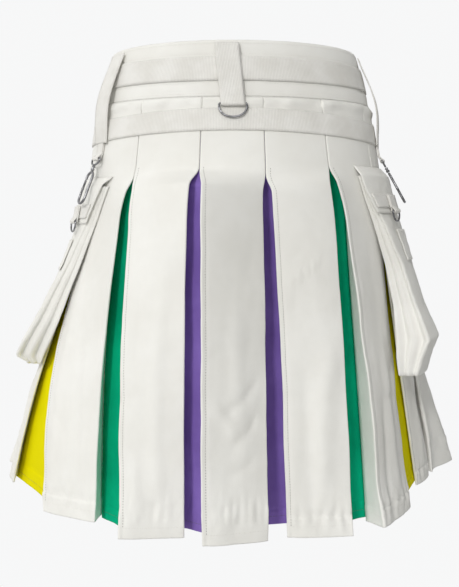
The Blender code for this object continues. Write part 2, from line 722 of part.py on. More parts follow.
def bag_row(pocket, z):
    """Level outline of a bag: face, bellows, back wall, bellows, with its left-hand side outwards."""
    _, _, back_at_rear, back_at_front, face = pocket_level(pocket, z)
    shares = left_to_right(pocket, [i / POCKET_STEPS for i in range(POCKET_STEPS + 1)])
    row = [pocket_point(pocket, z, share, face) for share in shares]
    for edge, back_shares in ((shares[-1], list(reversed(shares))), (shares[0], [])):
        back = back_at_front if edge == 1 else back_at_rear
        depth = face - back
        width = (pocket_point(pocket, z, 1, face) - pocket_point(pocket, z, 0, face)).length
        side = []
        for level, reach in BELLOWS:
            inset = BELLOWS_SHARE * depth * reach / width
            share = 1 - inset if edge == 1 else inset
            side.append(pocket_point(pocket, z, share, face - depth * level))
        if back_shares:
            row += side
            row += [pocket_point(pocket, z, s, lerp(back_at_rear, back_at_front, s)) for s in back_shares]
        else:
            row += reversed(side)
    return row


def make_bag(side_name, pocket):
    rows = []
    for level in reversed(pocket["rows"]):
        row = bag_row(pocket, level[0])
        rows.append(row + [row[0].copy()])
    bag = cloth_sheet("pocket_bag_" + side_name, rows, TWILL, COTTON, ring=True)
    shell = bmesh.new()
    shell.from_mesh(bag.data)
    highest = pocket["rows"][-1][0] + FOLD_RADIUS
    foot = [e for e in shell.edges if e.is_boundary and all(v.co.z < highest for v in e.verts)]
    bmesh.ops.contextual_create(shell, geom=foot)
    bmesh.ops.triangulate(shell, faces=[f for f in shell.faces if len(f.verts) > 4])
    bmesh.ops.recalc_face_normals(shell, faces=shell.faces)
    shell.to_mesh(bag.data)
    shell.free()


def pocket_sheet(name, pocket, drops, clear, thickness, finish, shares):
    """A piece over a pocket's face at some shares of its width. clear is the distance between the middles."""
    mouth = pocket["rows"][0][0]
    seat = PANEL_FACE + SEAM_GAP + TWILL
    rows = []
    for drop in drops:
        z = mouth + drop
        out = pocket_level(pocket, z)[4] + clear
        if drop > 0:
            out = lerp(out, seat, drop / FLAP_TOP)
        rows.append([pocket_point(pocket, z, share, out) for share in left_to_right(pocket, shares)])
    cloth_sheet(name, rows, thickness, finish)


def make_pocket(side_name):
    pocket = POCKETS[side_name]
    make_bag(side_name, pocket)
    even = [i / POCKET_STEPS for i in range(POCKET_STEPS + 1)]
    flap_heights = (FLAP_FOOT, *FLAP_BAND, 0.0, FLAP_TOP / 2, FLAP_TOP)
    flap_shares = [-FLAP_OVERHANG] + even + [1 + FLAP_OVERHANG]
    pocket_sheet("pocket_flap_" + side_name, pocket, flap_heights, FLAP_CLEAR, TWILL, COTTON, flap_shares)
    band_clear = FLAP_CLEAR + TWILL / 2 + LAY_GAP + WEBBING / 2
    pocket_sheet("pocket_band_" + side_name, pocket, FLAP_BAND, band_clear, WEBBING, COTTON_WEBBING, even)
    first, last = SMALL_FLAP["from_share"], SMALL_FLAP["to_share"]
    small_shares = [lerp(first, last, i / SMALL_FLAP_STEPS) for i in range(SMALL_FLAP_STEPS + 1)]
    pocket_sheet(
        "pocket_small_flap_" + side_name, pocket, SMALL_FLAP["heights"], FLAP_CLEAR, TWILL, COTTON,
        small_shares,
    )
    back_clear = band_clear + WEBBING + LAY_GAP
    bar_clear = back_clear + LOOP_RADIUS
    top, bar_height = (pocket["rows"][0][0] + drop for drop in (RING_TAB_TOP, RING_TAB_BAR))
    straight = looped_profile(top, back_clear, back_clear + WEBBING + LAY_GAP, bar_clear, bar_height)
    profile = [(out + pocket_level(pocket, z)[4], z) for out, z in straight]
    _, face_deg, _, _, face = pocket_level(pocket, bar_height)
    angle = lerp(face_deg, pocket["front_deg"], RING_TAB_SHARE)
    hanging_tab("ring_tab_" + side_name, angle, RING_TAB_WIDTH, profile)
    bar = ring_point(angle, bar_height, bar_clear + face)
    outward, across = strap_frame(angle, bar_height)
    lean = math.radians(POCKET_RING_LEAN_DEG)
    down = outward * math.sin(lean) - Vector((0, 0, 1)) * math.cos(lean)
    points = d_ring_points(bar, across, down, **POCKET_RING)
    wire_loop("d_ring_" + side_name, points, POCKET_RING["wire"], STEEL, bar)


def make_studs():
    seat = TAPE_OUT + WEBBING / 2 + LAY_GAP + STUD_HEIGHT / 2
    for number, angle in enumerate(STUD_ANGLES, 1):
        _, across = strap_frame(angle, 0.0)
        up = (ring_point(angle, TAPE_HEIGHT / 2) - ring_point(angle, -TAPE_HEIGHT / 2)).normalized()
        axis = across.cross(up).normalized()
        if axis.dot(ring_point(angle, 0.0)) < 0:
            axis.negate()
        stud = bmesh.new()
        bmesh.ops.create_cone(
            stud, cap_ends=True, segments=STUD_SEGMENTS, radius1=STUD_RADIUS, radius2=STUD_RADIUS * STUD_TAPER,
            depth=STUD_HEIGHT,
        )
        turn = axis.to_track_quat("Z", "Y").to_matrix().to_4x4()
        place = Matrix.Translation(ring_point(angle, 0.0) + axis * seat) @ turn
        bmesh.ops.transform(stud, matrix=place, verts=stud.verts)
        mesh = bpy.data.meshes.new(f"snap_stud_{number}")
        stud.to_mesh(mesh)
        stud.free()
        mesh.shade_smooth()
        mesh.set_sharp_from_angle(angle=math.radians(SHARP_DEG))
        add_object(f"snap_stud_{number}", mesh, STEEL)


def clear_scene():
    for obj in list(bpy.data.objects):
        bpy.data.objects.remove(obj)


def main():
    clear_scene()
    make_panels()
    make_insets()
    make_aprons()
    make_bands()
    make_back_strap()
    make_belt_loops()
    for side_name in POCKETS:
        make_hook(side_name)
        make_pocket(side_name)
    make_studs()


main()
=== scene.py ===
import math

import bmesh
import bpy
from mathutils import Matrix, Vector, noise


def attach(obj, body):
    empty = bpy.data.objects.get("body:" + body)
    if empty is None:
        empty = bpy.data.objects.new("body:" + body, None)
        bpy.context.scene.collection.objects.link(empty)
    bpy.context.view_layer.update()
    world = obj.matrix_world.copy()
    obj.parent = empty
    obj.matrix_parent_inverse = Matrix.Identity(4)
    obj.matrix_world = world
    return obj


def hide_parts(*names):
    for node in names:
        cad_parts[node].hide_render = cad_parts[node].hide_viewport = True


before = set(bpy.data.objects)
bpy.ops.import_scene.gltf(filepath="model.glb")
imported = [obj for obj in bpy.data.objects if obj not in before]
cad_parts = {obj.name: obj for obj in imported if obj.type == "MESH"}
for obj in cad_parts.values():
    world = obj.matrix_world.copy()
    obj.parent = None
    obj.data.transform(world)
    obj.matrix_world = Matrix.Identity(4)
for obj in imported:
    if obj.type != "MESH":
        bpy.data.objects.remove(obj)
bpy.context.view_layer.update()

# The kilt's form. Metres, origin at the waist, -Y is the wearer's back, +X the wearer's right.
form = {
    "rings": (  # height, half width on the left and on the right, back depth, front depth
        (0.035, 0.164, 0.167, 0.117, 0.112),
        (-0.035, 0.183, 0.186, 0.123, 0.120),
        (-0.095, 0.193, 0.197, 0.135, 0.130),
        (-0.205, 0.208, 0.216, 0.1590, 0.1455),
        (-0.400, 0.250, 0.250, 0.203, 0.172),
        (-0.561, 0.275, 0.275, 0.235, 0.190),
    ),
    "hem": -0.561,
    "skirtTop": -0.0353,
    "twill": 0.0012,
    "webbing": 0.0014,
    "foldRadius": 0.00085,
    "foldStandoff": 0.00165,
    "returnWidth": 0.029,
    "layGap": 0.0005,
    "driftTop": -0.115,
    "opening": 0.024,  # a slit rounds open over this height, and begins to open a little above its solid
    "rise": {"purpleLeft": 0.0125, "purpleRight": 0.0095, "greenLeft": 0.0065}, "leastRise": 0.0035,
    "seamGap": 0.0003,
    "webEdge": -0.0003,  # webbing is drawn in along its woven edges
}
# each slit: angle, drift, height where the drift ends, height where it opens, how its opening grows, and the
# share of the hem's plan that is kept above the hem
slits = {
    "plainLeft": (-95.0, 0.0, -0.19, -0.19, 0.87, 0.0),
    "yellowLeft": (-65.5, -10.4, -0.35, -0.234, 1.49, 0.84),
    "greenLeft": (-38.6, -4.5, -0.19, -0.137, 0.43, 0.43),
    "purpleLeft": (-12.2, -1.8, -0.19, -0.1355, 0.145, 0.86),
    "purpleRight": (11.3, -1.0, -0.19, -0.140, 0.19, 0.30),
    "greenRight": (36.5, 2.7, -0.19, -0.1206, 0.39, 0.17),
    "yellowRight": (64.5, 5.5, -0.19, -0.154, 0.92, -0.30),
    "plainRight": (96.0, 0.0, -0.19, -0.12, 0.78, 0.0),
    "front": (180.0, 0.0, -0.19, -0.12, 0.9, 0.0),
}


def lerp(a, b, t):
    return a + (b - a) * t


def smooth(t):
    t = min(1.0, max(0.0, t))
    return t * t * (3 - 2 * t)


def spread(start, end, steps):
    return [lerp(start, end, i / steps) for i in range(steps + 1)]


def formSizes(z):
    rings = form["rings"]
    last = len(rings) - 1
    if z >= rings[0][0]:
        return rings[0][1:]
    if z <= rings[last][0]:
        return rings[last][1:]
    k = next(i for i in range(last) if rings[i][0] >= z > rings[i + 1][0])
    span = rings[k + 1][0] - rings[k][0]
    t = (z - rings[k][0]) / span

    def slope(i, column):
        low, high = max(0, i - 1), min(last, i + 1)
        return (rings[high][column] - rings[low][column]) / (rings[high][0] - rings[low][0])

    return [
        (2 * t**3 - 3 * t**2 + 1) * rings[k][c] + (t**3 - 2 * t**2 + t) * slope(k, c) * span
        + (3 * t**2 - 2 * t**3) * rings[k + 1][c] + (t**3 - t**2) * slope(k + 1, c) * span
        for c in range(1, len(rings[0]))
    ]


def quarterSizes(degrees, z):
    left, right, back, front = formSizes(z)
    angle = math.radians(degrees)
    return right if math.sin(angle) >= 0 else left, back if math.cos(angle) >= 0 else front


def formPoint(degrees, z, out=0.0):
    half, depth = quarterSizes(degrees, z)
    angle = math.radians(degrees)
    x, y = half * math.sin(angle), -depth * math.cos(angle)
    return Vector((x, y, z)) + Vector((x / half**2, y / depth**2, 0)).normalized() * out


def metresPerDegree(degrees, z):
    half, depth = quarterSizes(degrees, z)
    angle = math.radians(degrees)
    return math.hypot(half * math.cos(angle), depth * math.sin(angle)) * math.pi / 180


def levelFrame(degrees, z):
    outward = (formPoint(degrees, z, 1.0) - formPoint(degrees, z)).normalized()
    return outward, Vector((-outward.y, outward.x, 0))


def slitAngle(slit, z):
    angle, drift, foot = slits[slit][:3]
    return angle + drift * smooth((form["driftTop"] - z) / (form["driftTop"] - foot))


def openness(slit, z):
    opensAt, growth = slits[slit][3:5]
    opensAt += form["rise"].get(slit, form["leastRise"])
    if z >= opensAt:
        return 0.0
    return ((opensAt - z) / (opensAt - form["hem"])) ** growth * smooth((opensAt - z) / form["opening"])


def hemPoint(plan, slit, z):  # a point of the hem's plan beside a slit, carried up to a height
    kept, angle = slits[slit][5], math.degrees(math.atan2(plan[0], -plan[1]))
    sizes = zip(quarterSizes(angle, z), quarterSizes(angle, form["hem"]))
    width, depth = (lerp(here / atHem, 1, kept) for here, atHem in sizes)
    return Vector((plan[0] * width, plan[1] * depth, z))


def bow(start, end, z, w):  # how far the form stands out from the line between two of its points
    chord = formPoint(start, z).lerp(formPoint(end, z), w)
    return formPoint(lerp(start, end, w), z) - chord


lap = {"tuck": 0.0032, "from": 113.0, "over": 14.0}


def lapTuck(degrees):  # the lap that lies underneath in front is drawn in
    return lap["tuck"] * smooth((degrees - lap["from"]) / lap["over"])


class Wire:  # a shader socket that sums, multiplies and so on as a number does
    def __init__(self, nodes, socket):
        self.nodes, self.socket = nodes, socket

    def math(self, operation, *values):
        return self.nodes.node("ShaderNodeMath", {"operation": operation}, *values)

    def __add__(self, other):
        return self.math("ADD", self, other)

    def __sub__(self, other):
        return self.math("SUBTRACT", self, other)

    def __rsub__(self, other):
        return self.math("SUBTRACT", other, self)

    def __mul__(self, other):
        return self.math("MULTIPLY", self, other)

    __radd__, __rmul__ = __add__, __mul__

    def wave(self, pitch):  # a round rib from 0 to 1, one for each pitch
        return self.math("SINE", self * (2 * math.pi / pitch)) * 0.5 + 0.5

    def ramp(self, low, high):
        settings = {"clamp": True, "interpolation_type": "SMOOTHSTEP"}
        return self.nodes.node("ShaderNodeMapRange", settings, self, low, high, 0.0, 1.0)


class Nodes:  # the shader nodes of a material or of the world
    def __init__(self, tree):
        self.tree = tree

    def node(self, kind, settings=None, *values, out=0, **named):
        made = self.tree.nodes.new(kind)
        for key, value in (settings or {}).items():
            setattr(made, key, value)
        for key, value in list(enumerate(values)) + list(named.items()):
            self.put(made.inputs[key.replace("_", " ") if isinstance(key, str) else key], value)
        return Wire(self, made.outputs[out])

    def put(self, target, value):
        if isinstance(value, Wire):
            self.tree.links.new(value.socket, target)
        else:
            target.default_value = value

    def mix(self, factor, first, second):
        made = self.tree.nodes.new("ShaderNodeMix")
        made.data_type = "RGBA"
        self.put(made.inputs[0], factor)
        for target, value in ((made.inputs[6], first), (made.inputs[7], second)):
            self.put(target, (*value, 1.0) if isinstance(value, tuple) else value)
        return Wire(self, made.outputs[2])

    def parts(self, vector):
        split = self.node("ShaderNodeSeparateXYZ", None, vector)
        return [Wire(self, part) for part in split.socket.node.outputs]


class Finish(Nodes):  # one material and its nodes
    def __init__(self, name, slot, **constants):
        self.slot = slot
        self.material = bpy.data.materials.new(name)
        self.material.use_nodes = True
        super().__init__(self.material.node_tree)
        self.shader = self.tree.nodes["Principled BSDF"]
        self.paint(**constants)

    def place(self):  # metres in the kilt's own frame
        return self.node("ShaderNodeTexCoord", None, out=3)

    def clothMap(self):  # metres across and up the cloth
        uv = self.node("ShaderNodeUVMap", {"uv_map": "cloth"})
        across, up, _ = self.parts(uv)
        return uv, across, up

    def grain(self, place, scale, detail=3.0, roughness=0.55, stretch=None):
        if stretch:
            place = self.node("ShaderNodeMapping", None, place, (0, 0, 0), (0, 0, 0), stretch)
        return self.node(
            "ShaderNodeTexNoise", None, Vector=place, Scale=scale, Detail=detail, Roughness=roughness
        )

    def shape(self, height, strength, distance):
        bump = self.node("ShaderNodeBump", None, Strength=strength, Distance=distance, Height=height)
        self.put(self.shader.inputs["Normal"], bump)

    def paint(self, **sockets):
        for socket, value in sockets.items():
            self.put(self.shader.inputs[socket.replace("_", " ")], value)
        return self


def twillFinish(name, slot, look):
    finish = Finish(
        name, slot, Sheen_Weight=look["sheen"], Sheen_Roughness=0.6, Specular_IOR_Level=look["shine"]
    )
    uv, across, up = finish.clothMap()
    rib = (across * look["slant"] + up).wave(look["rib"])
    weft = finish.grain(uv, look["yarns"], 4.0, 0.7, look["weft"])
    warp = finish.grain(uv, look["yarns"], 3.0, 0.7, look["warp"])
    cloud = finish.grain(finish.place(), look["clouds"], 4.0, 0.6)
    slub = (weft.ramp(0.60, 0.78) + warp.ramp(0.62, 0.80)) * 0.5
    tone = finish.mix(cloud.ramp(0.30, 0.72), look["dark"], look["light"])
    tone = finish.mix((1 - rib) * look["ribShade"], tone, look["dark"])
    tone = finish.mix(slub * look["slub"], tone, look["thread"])
    finish.shape(rib * 0.5 + weft * 0.55 + warp * 0.45, look["bump"], look["relief"])
    return finish.paint(Base_Color=tone, Roughness=look["rough"] + 0.1 * (1 - rib) - 0.05 * slub)


cottonLook = {
    "dark": (0.815, 0.805, 0.765), "light": (0.88, 0.875, 0.845), "thread": (0.91, 0.90, 0.87),
    "rib": 0.00085, "slant": 0.72, "ribShade": 0.22, "yarns": 26.0, "weft": (0.9, 44.0, 1.0),
    "warp": (52.0, 0.8, 1.0), "slub": 0.5, "clouds": 9.0, "bump": 0.45, "relief": 0.0004,
    "rough": 0.86, "sheen": 0.12, "shine": 0.25,
}
dyedLook = {**cottonLook, "bump": 0.35, "slub": 0.35, "sheen": 0.0, "shine": 0.06}
colourLooks = {
    "purple": {"dark": (0.205, 0.125, 0.430), "light": (0.295, 0.190, 0.590), "thread": (0.34, 0.23, 0.64)},
    "green": {"dark": (0.0, 0.320, 0.165), "light": (0.001, 0.450, 0.235), "thread": (0.01, 0.48, 0.26)},
    "yellow": {"dark": (0.78, 0.70, 0.0), "light": (0.90, 0.82, 0.0), "thread": (0.93, 0.86, 0.0)},
}


def webbingFinish(name, slot, look):
    finish = Finish(name, slot, Sheen_Weight=0.1, Sheen_Roughness=0.6, Specular_IOR_Level=0.3)
    uv, across, up = finish.clothMap()
    rib = across.wave(look["rib"])
    fuzz = finish.grain(uv, look["fuzz"], 3.0, 0.7)
    patch = finish.grain(finish.place(), look["patches"], 3.0, 0.6)
    tone = finish.mix(patch.ramp(0.3, 0.7), look["dark"], look["light"])
    tone = finish.mix((1 - rib) * look["ribShade"], tone, look["valley"])
    finish.shape(rib * 0.75 + up.wave(look["warp"]) * 0.2 + fuzz * 0.3, look["bump"], look["relief"])
    return finish.paint(Base_Color=tone, Roughness=look["rough"] + 0.14 * fuzz)


def metalFinish(name, slot, look):
    finish = Finish(name, slot, Metallic=1.0)
    place = finish.place()
    smudge = finish.grain(place, look["smudges"], 4.0, 0.6)
    scratch = finish.grain(place, look["scratches"], 2.0, 0.5, (1.0, 1.0, 0.15))
    tone = finish.mix(smudge.ramp(0.35, 0.7), look["dark"], look["light"])
    tone = finish.mix(scratch.ramp(0.66, 0.74) * 0.5, tone, look["worn"])
    finish.shape(smudge * 0.6 + scratch * 0.4, look["bump"], look["relief"])
    return finish.paint(Base_Color=tone, Roughness=look["rough"] + 0.2 * smudge.ramp(0.3, 0.8))


def threadFinish(name, slot, colour, shade):
    finish = Finish(name, slot, Sheen_Weight=0.1, Specular_IOR_Level=0.4)
    twist = finish.grain(finish.place(), 1400.0, 2.0, 0.5)
    finish.shape(twist, 0.4, 0.0002)
    tone = finish.mix(twist.ramp(0.35, 0.65), shade, colour)
    return finish.paint(Base_Color=tone, Roughness=0.62 + 0.1 * twist)


threads = {  # colour, and colour in its twist
    "thread": ((0.88, 0.87, 0.83), (0.72, 0.70, 0.66)),
    # the pleats' edge stitching has grey thread as painted shade: its darkness stands for the shadows of the
    # needle holes between stitches
    "paintedShadeGreyThread": ((0.46, 0.45, 0.42), (0.30, 0.29, 0.27)),
    "darkThread": ((0.16, 0.15, 0.10), (0.09, 0.08, 0.06)),
}
finishes = {"cotton": twillFinish("cottonTwill", "cotton_twill", cottonLook)}
for colour, look in colourLooks.items():
    finishes[colour] = twillFinish(colour + "Twill", colour + "_twill", {**dyedLook, **look})
finishes["webbing"] = webbingFinish("ribbedWebbing", "cotton_webbing", {
    "dark": (0.80, 0.785, 0.745), "light": (0.90, 0.89, 0.86), "valley": (0.58, 0.565, 0.53),
    "rib": 0.0019, "warp": 0.0007, "ribShade": 0.42, "fuzz": 420.0, "patches": 30.0, "bump": 0.7,
    "relief": 0.0005, "rough": 0.78,
})
finishes["steel"] = metalFinish("darkSteel", "dark_steel", {
    "dark": (0.20, 0.20, 0.21), "light": (0.36, 0.36, 0.38), "worn": (0.62, 0.62, 0.64),
    "smudges": 160.0, "scratches": 900.0, "bump": 0.12, "relief": 0.0002, "rough": 0.24,
})
for name, colours in threads.items():
    slot = "cotton_webbing" if name == "thread" else "cotton_twill"
    finishes[name] = threadFinish("creamThread" if name == "thread" else name, slot, *colours)
print("finishes made")

grids = {}  # places, normals and sizes of each cloth piece, for the sewing that lies on it


def layOnPiece(mesh, name, finish, body, *replaced):
    mesh.materials.append(finish.material)
    piece = bpy.data.objects.new(name, mesh)
    bpy.context.scene.collection.objects.link(piece)
    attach(piece, body)
    if replaced:
        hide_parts(*replaced)
    return piece


def gridNormals(rows, ring=False):
    last, columns = len(rows) - 1, len(rows[0])
    normals = []
    for r, row in enumerate(rows):
        low, high = rows[max(0, r - 1)], rows[min(last, r + 1)]
        line = []
        for c in range(columns):
            before = c - 1 if c else (columns - 2 if ring else 0)
            after = c + 1 if c < columns - 1 else (1 if ring else c)
            line.append((row[after] - row[before]).cross(high[c] - low[c]).normalized())
        normals.append(line)
    return normals


def clothPiece(node, cloth, rows, relief, finish=None, thickness=None, ring=False, close=None):
    # rows run up the cloth, each from the wearer's left to the right
    name, thickness = f"{node}_{cloth}", thickness or form[cloth]
    finish = finishes[finish or ("cotton" if cloth == "twill" else cloth)]
    columns, count = len(rows[0]), len(rows)
    normals = gridNormals(rows, ring)
    middle = columns // 2
    heights = [0.0]
    for low, high in zip(rows, rows[1:]):
        heights.append(heights[-1] + (high[middle] - low[middle]).length)
    widths = []
    for row in rows:
        line = [0.0]
        for a, b in zip(row, row[1:]):
            line.append(line[-1] + (b - a).length)
        widths.append([w - line[middle] for w in line])
    rows = [
        [
            point + normal * relief(across, heights[-1] - heights[r], c, r)
            for c, (point, normal, across) in enumerate(zip(row, normals[r], widths[r]))
        ]
        for r, row in enumerate(rows)
    ]
    grids[name] = {"rows": rows, "normals": gridNormals(rows, ring), "half": thickness / 2}
    sheet = bmesh.new()
    bmesh.ops.create_grid(sheet, x_segments=columns - 1, y_segments=count - 1, size=0.5)
    uvs = sheet.loops.layers.uv.new("cloth")
    flat = widths[count // 3]
    spots = {}
    for vert in sheet.verts:
        spots[vert] = round((vert.co.x + 0.5) * (columns - 1)), round((vert.co.y + 0.5) * (count - 1))
    for face in sheet.faces:
        face.smooth = True
        for loop in face.loops:
            c, r = spots[loop.vert]
            loop[uvs].uv = (flat[c], heights[r])
    for vert, (c, r) in spots.items():
        vert.co = rows[r][c]
    if ring:
        bmesh.ops.remove_doubles(sheet, verts=sheet.verts, dist=0.00001)
    if close:
        close(sheet)
    mesh = bpy.data.meshes.new(name)
    sheet.to_mesh(mesh)
    sheet.free()
    piece = layOnPiece(mesh, name, finish, "kilt", node)
    wall = piece.modifiers.new("wall", "SOLIDIFY")
    wall.thickness, wall.offset = thickness, 0.0
    return piece


def fade(distance, width):
    return math.exp(-((distance / width) ** 2))


creaseEnds = {"past": 0.3, "fade": 0.45, "reach": 3}  # shares of a crease's length, and how many half widths


def troughs(x, y, creases):
    # each crease: start x, start y, end x, end y, half width, depth (down is negative), bow; all in metres
    past, fading = creaseEnds["past"], creaseEnds["fade"]
    total = 0.0
    for ax, ay, bx, by, width, depth, bow in creases:
        dx, dy = bx - ax, by - ay
        long = math.hypot(dx, dy)
        along = ((x - ax) * dx + (y - ay) * dy) / long
        q = along / long
        if q < -past or q > 1 + past:
            continue
        off = ((x - ax) * dy - (y - ay) * dx) / long + bow * 4 * q * (1 - q)
        if abs(off) > creaseEnds["reach"] * width:
            continue
        total += depth * fade(off, width) * smooth((q + past) / fading) * smooth((1 + past - q) / fading)
    return total


def ripple(x, y, seed, size):
    return noise.noise(Vector((x / size, y / size, seed)))


def ripples(x, y, layers, seed=0.0):  # each layer: depth, size, stretch down the cloth, what its seed adds
    return sum(depth * ripple(x, y * stretch, seed + more, size) for depth, size, stretch, more in layers)


def grooves(place, lines):  # each line: depth, place, half width
    return sum(depth * fade(place - at, width) for depth, at, width in lines)


def webbingRelief(s, t, edge, look, seed=0.0):
    drawn = form["webEdge"] * smooth((look["edge"] - edge) / look["edge"])
    return drawn + grooves(edge, look["lines"]) + ripples(s, t, look["life"], seed)


class Sewing:  # rows of stitches that lie on the cloth
    stitch = {"pitch": 0.0033, "long": 0.00235, "wide": 0.00062, "tall": 0.0004, "sides": 5, "rings": 3}
    lift = 0.00008  # how far a stitch's middle stands above the cloth

    def __init__(self, name, **sizes):
        self.name, self.mesh, self.count = name, bmesh.new(), 0
        self.single, self.copy = bmesh.new(), bpy.data.meshes.new(name + "_copy")
        self.stitch = s = {**self.stitch, **sizes}
        lying = Matrix.Rotation(math.pi / 2, 4, "Y")
        bmesh.ops.create_uvsphere(
            self.single, u_segments=s["sides"], v_segments=s["rings"], radius=1.0, matrix=lying
        )
        sizes = [s[key] / 2 for key in ("long", "wide", "tall")]
        bmesh.ops.scale(self.single, vec=sizes, verts=self.single.verts)
        self.shape = [vert.co.copy() for vert in self.single.verts]

    def spot(self, grid, c, r):
        rows = grid["rows"]
        c, r = min(len(rows[0]) - 1.001, max(0, c)), min(len(rows) - 1.001, max(0, r))
        i, j = int(c), int(r)
        u, v = c - i, r - j
        point, normal = (
            layer[j][i].lerp(layer[j][i + 1], u).lerp(layer[j + 1][i].lerp(layer[j + 1][i + 1], u), v)
            for layer in (rows, grid["normals"])
        )
        return point, normal.normalized()

    def run(self, grid, path, size=1.0):
        # path holds column and row numbers of the grid, which may fall between its lines
        points = [self.spot(grid, c, r) for c, r in path]
        pitch = self.stitch["pitch"] * size
        lengths = [0.0]
        for (a, _), (b, _) in zip(points, points[1:]):
            lengths.append(lengths[-1] + (b - a).length)
        steps = int(lengths[-1] / pitch)
        k = 0
        for i in range(steps):
            at = (i + 0.5) * pitch
            while k < len(lengths) - 2 and lengths[k + 1] < at:
                k += 1
            t = (at - lengths[k]) / max(1e-9, lengths[k + 1] - lengths[k])
            place = points[k][0].lerp(points[k + 1][0], t)
            normal = points[k][1].lerp(points[k + 1][1], t).normalized()
            along = (points[k + 1][0] - points[k][0]).normalized()
            self.put(place + normal * (grid["half"] + self.lift), along, normal, size)

    def put(self, place, along, normal, size):
        across = normal.cross(along).normalized()
        turn = Matrix((along, across, normal)).transposed() * size
        for vert, at in zip(self.single.verts, self.shape):
            vert.co = place + turn @ at
        self.single.to_mesh(self.copy)
        self.mesh.from_mesh(self.copy)
        self.count += 1

    def sew(self, finish="thread"):
        for face in self.mesh.faces:
            face.smooth = True
        mesh = bpy.data.meshes.new(self.name)
        self.mesh.to_mesh(mesh)
        self.mesh.free()
        layOnPiece(mesh, self.name, finishes[finish], "kilt")


def offsetPath(points, out, steps):
    flat = [p for p, _ in points]
    normals = []
    for a, b in zip(flat, flat[1:]):
        step = (b - a).to_2d()
        normals.append(Vector((step.y, -step.x)).normalized())
    path = []
    for i, (point, corner) in enumerate(points):
        before, after = normals[max(0, i - 1)], normals[min(len(normals) - 1, i)]
        if corner:
            start = math.atan2(before.y, before.x)
            turn = (math.atan2(after.y, after.x) - start) % (2 * math.pi)
            turn = 0.0 if turn > 1.5 * math.pi else turn
            for angle in spread(start, start + turn, steps):
                path.append(point + Vector((math.cos(angle), math.sin(angle), 0)) * out)
        else:
            path.append(point + (before + after).normalized().to_3d() * out)
    return path


# rows of the skirt lie close together in the hem and where the slits open: top of each stretch, step in it
skirtRows = {
    "hem": 0.024, "hemStep": 0.0016, "steps": ((-0.172, 0.006), (-0.118, 0.0024), (0.0, 0.0035)),
    "least": 0.0005,
}


def skirtHeights(hem):
    heights, z = [], hem
    while z < form["skirtTop"] - skirtRows["least"]:
        heights.append(z)
        inHem = z < hem + skirtRows["hem"]
        z += skirtRows["hemStep"] if inHem else next(step for top, step in skirtRows["steps"] if z < top)
    return heights + [form["skirtTop"]]


def closedAngles(slit, side, z):
    angle, start = slitAngle(slit, z), form["foldStandoff"]
    scale = metresPerDegree(angle, z)
    return [angle + side * way / scale for way in (start, start + form["returnWidth"])]


def pleatPath(slit, side, z, seam, fold):
    # the return lies behind its panel, and swings inwards as the pleat opens
    k = openness(slit, z)
    foldDeg, endDeg = closedAngles(slit, side, z)
    shut = [formPoint(lerp(foldDeg, endDeg, q), z) for q in pleats["returnShares"]]
    hemFold, hemSeam = hemPoint(fold, slit, z), hemPoint(seam, slit, z)
    lying, standing = shut[-1] - shut[0], hemSeam - hemFold
    turn = side * (math.atan2(standing.y, standing.x) - math.atan2(lying.y, lying.x)) % (2 * math.pi)
    turn -= 2 * math.pi if turn > 1.5 * math.pi else 0.0
    swing = Matrix.Rotation(side * turn * k, 3, "Z") * lerp(1, standing.length / lying.length, k)
    sway = ripple(z, 0.0, slits[slit][0] + side, pleats["swaySize"]) * pleats["sway"] * k
    sway *= smooth((form["hem"] + pleats["swayTop"] - z) / pleats["swayFade"])
    edge = shut[0].lerp(hemFold, k)
    lean = -standing.normalized() * sway
    path = [edge + swing @ (p - shut[0]) + lean * (1 - q) for p, q in zip(shut, pleats["returnShares"])]
    return path, foldDeg, k


pleats = {
    "returnShares": (0.0, 0.15, 0.35, 0.55, 0.78, 1.0),
    "foldSteps": 5,
    "faceShares": (0.015, 0.035, 0.06, 0.09) + tuple(spread(0.115, 0.885, 30)) + (0.91, 0.94, 0.965, 0.985),
    "bulge": 0.0025,
    "pull": {"side_panel_left": 4.0, "side_panel_right": 4.0},
    "sway": 0.004, "swaySize": 0.06, "swayTop": 0.54, "swayFade": 0.3,
    "life": ((0.0010, 0.035, 0.5, 0), (0.0005, 0.014, 0.8, 50)), "lifeFrom": 0.10, "lifeOver": 0.15,
    "crease": 1.6,  # how much deeper all creases of the skirt are than their lists say
    "returnRelief": 0.3, "edgeColumns": 5,
    "stitchColumn": 7.6, "stitchGroove": -0.0006, "stitchWidth": 1.1,
}
# slit on the left, slit on the right, left seam, left fold, right fold, right seam
panels = {
    "hip_panel_left": (
        "plainLeft", "yellowLeft", (-0.294, 0.034), (-0.329, 0.048), (-0.315, 0.000), (-0.3195, 0.0265)
    ),
    "side_panel_left": (
        "yellowLeft", "greenLeft", (-0.218, -0.135), (-0.243, -0.124), (-0.173, -0.164), (-0.169, -0.137)
    ),
    "back_panel_left": (
        "greenLeft", "purpleLeft", (-0.119, -0.199), (-0.1335, -0.219), (-0.060, -0.214), (-0.067, -0.184)
    ),
    "back_panel_centre": (
        "purpleLeft", "purpleRight", (-0.020, -0.215), (-0.035, -0.242), (0.039, -0.226), (0.028, -0.190)
    ),
    "back_panel_right": (
        "purpleRight", "greenRight", (0.080, -0.180), (0.065, -0.214), (0.141, -0.211), (0.131, -0.182)
    ),
    "side_panel_right": (
        "greenRight", "yellowRight", (0.166, -0.160), (0.182, -0.181), (0.228, -0.109), (0.211, -0.130)
    ),
    "hip_panel_right": (
        "yellowRight", "plainRight", (0.2725, 0.0105), (0.261, -0.014), (0.288, 0.030), (0.256, 0.023)
    ),
}
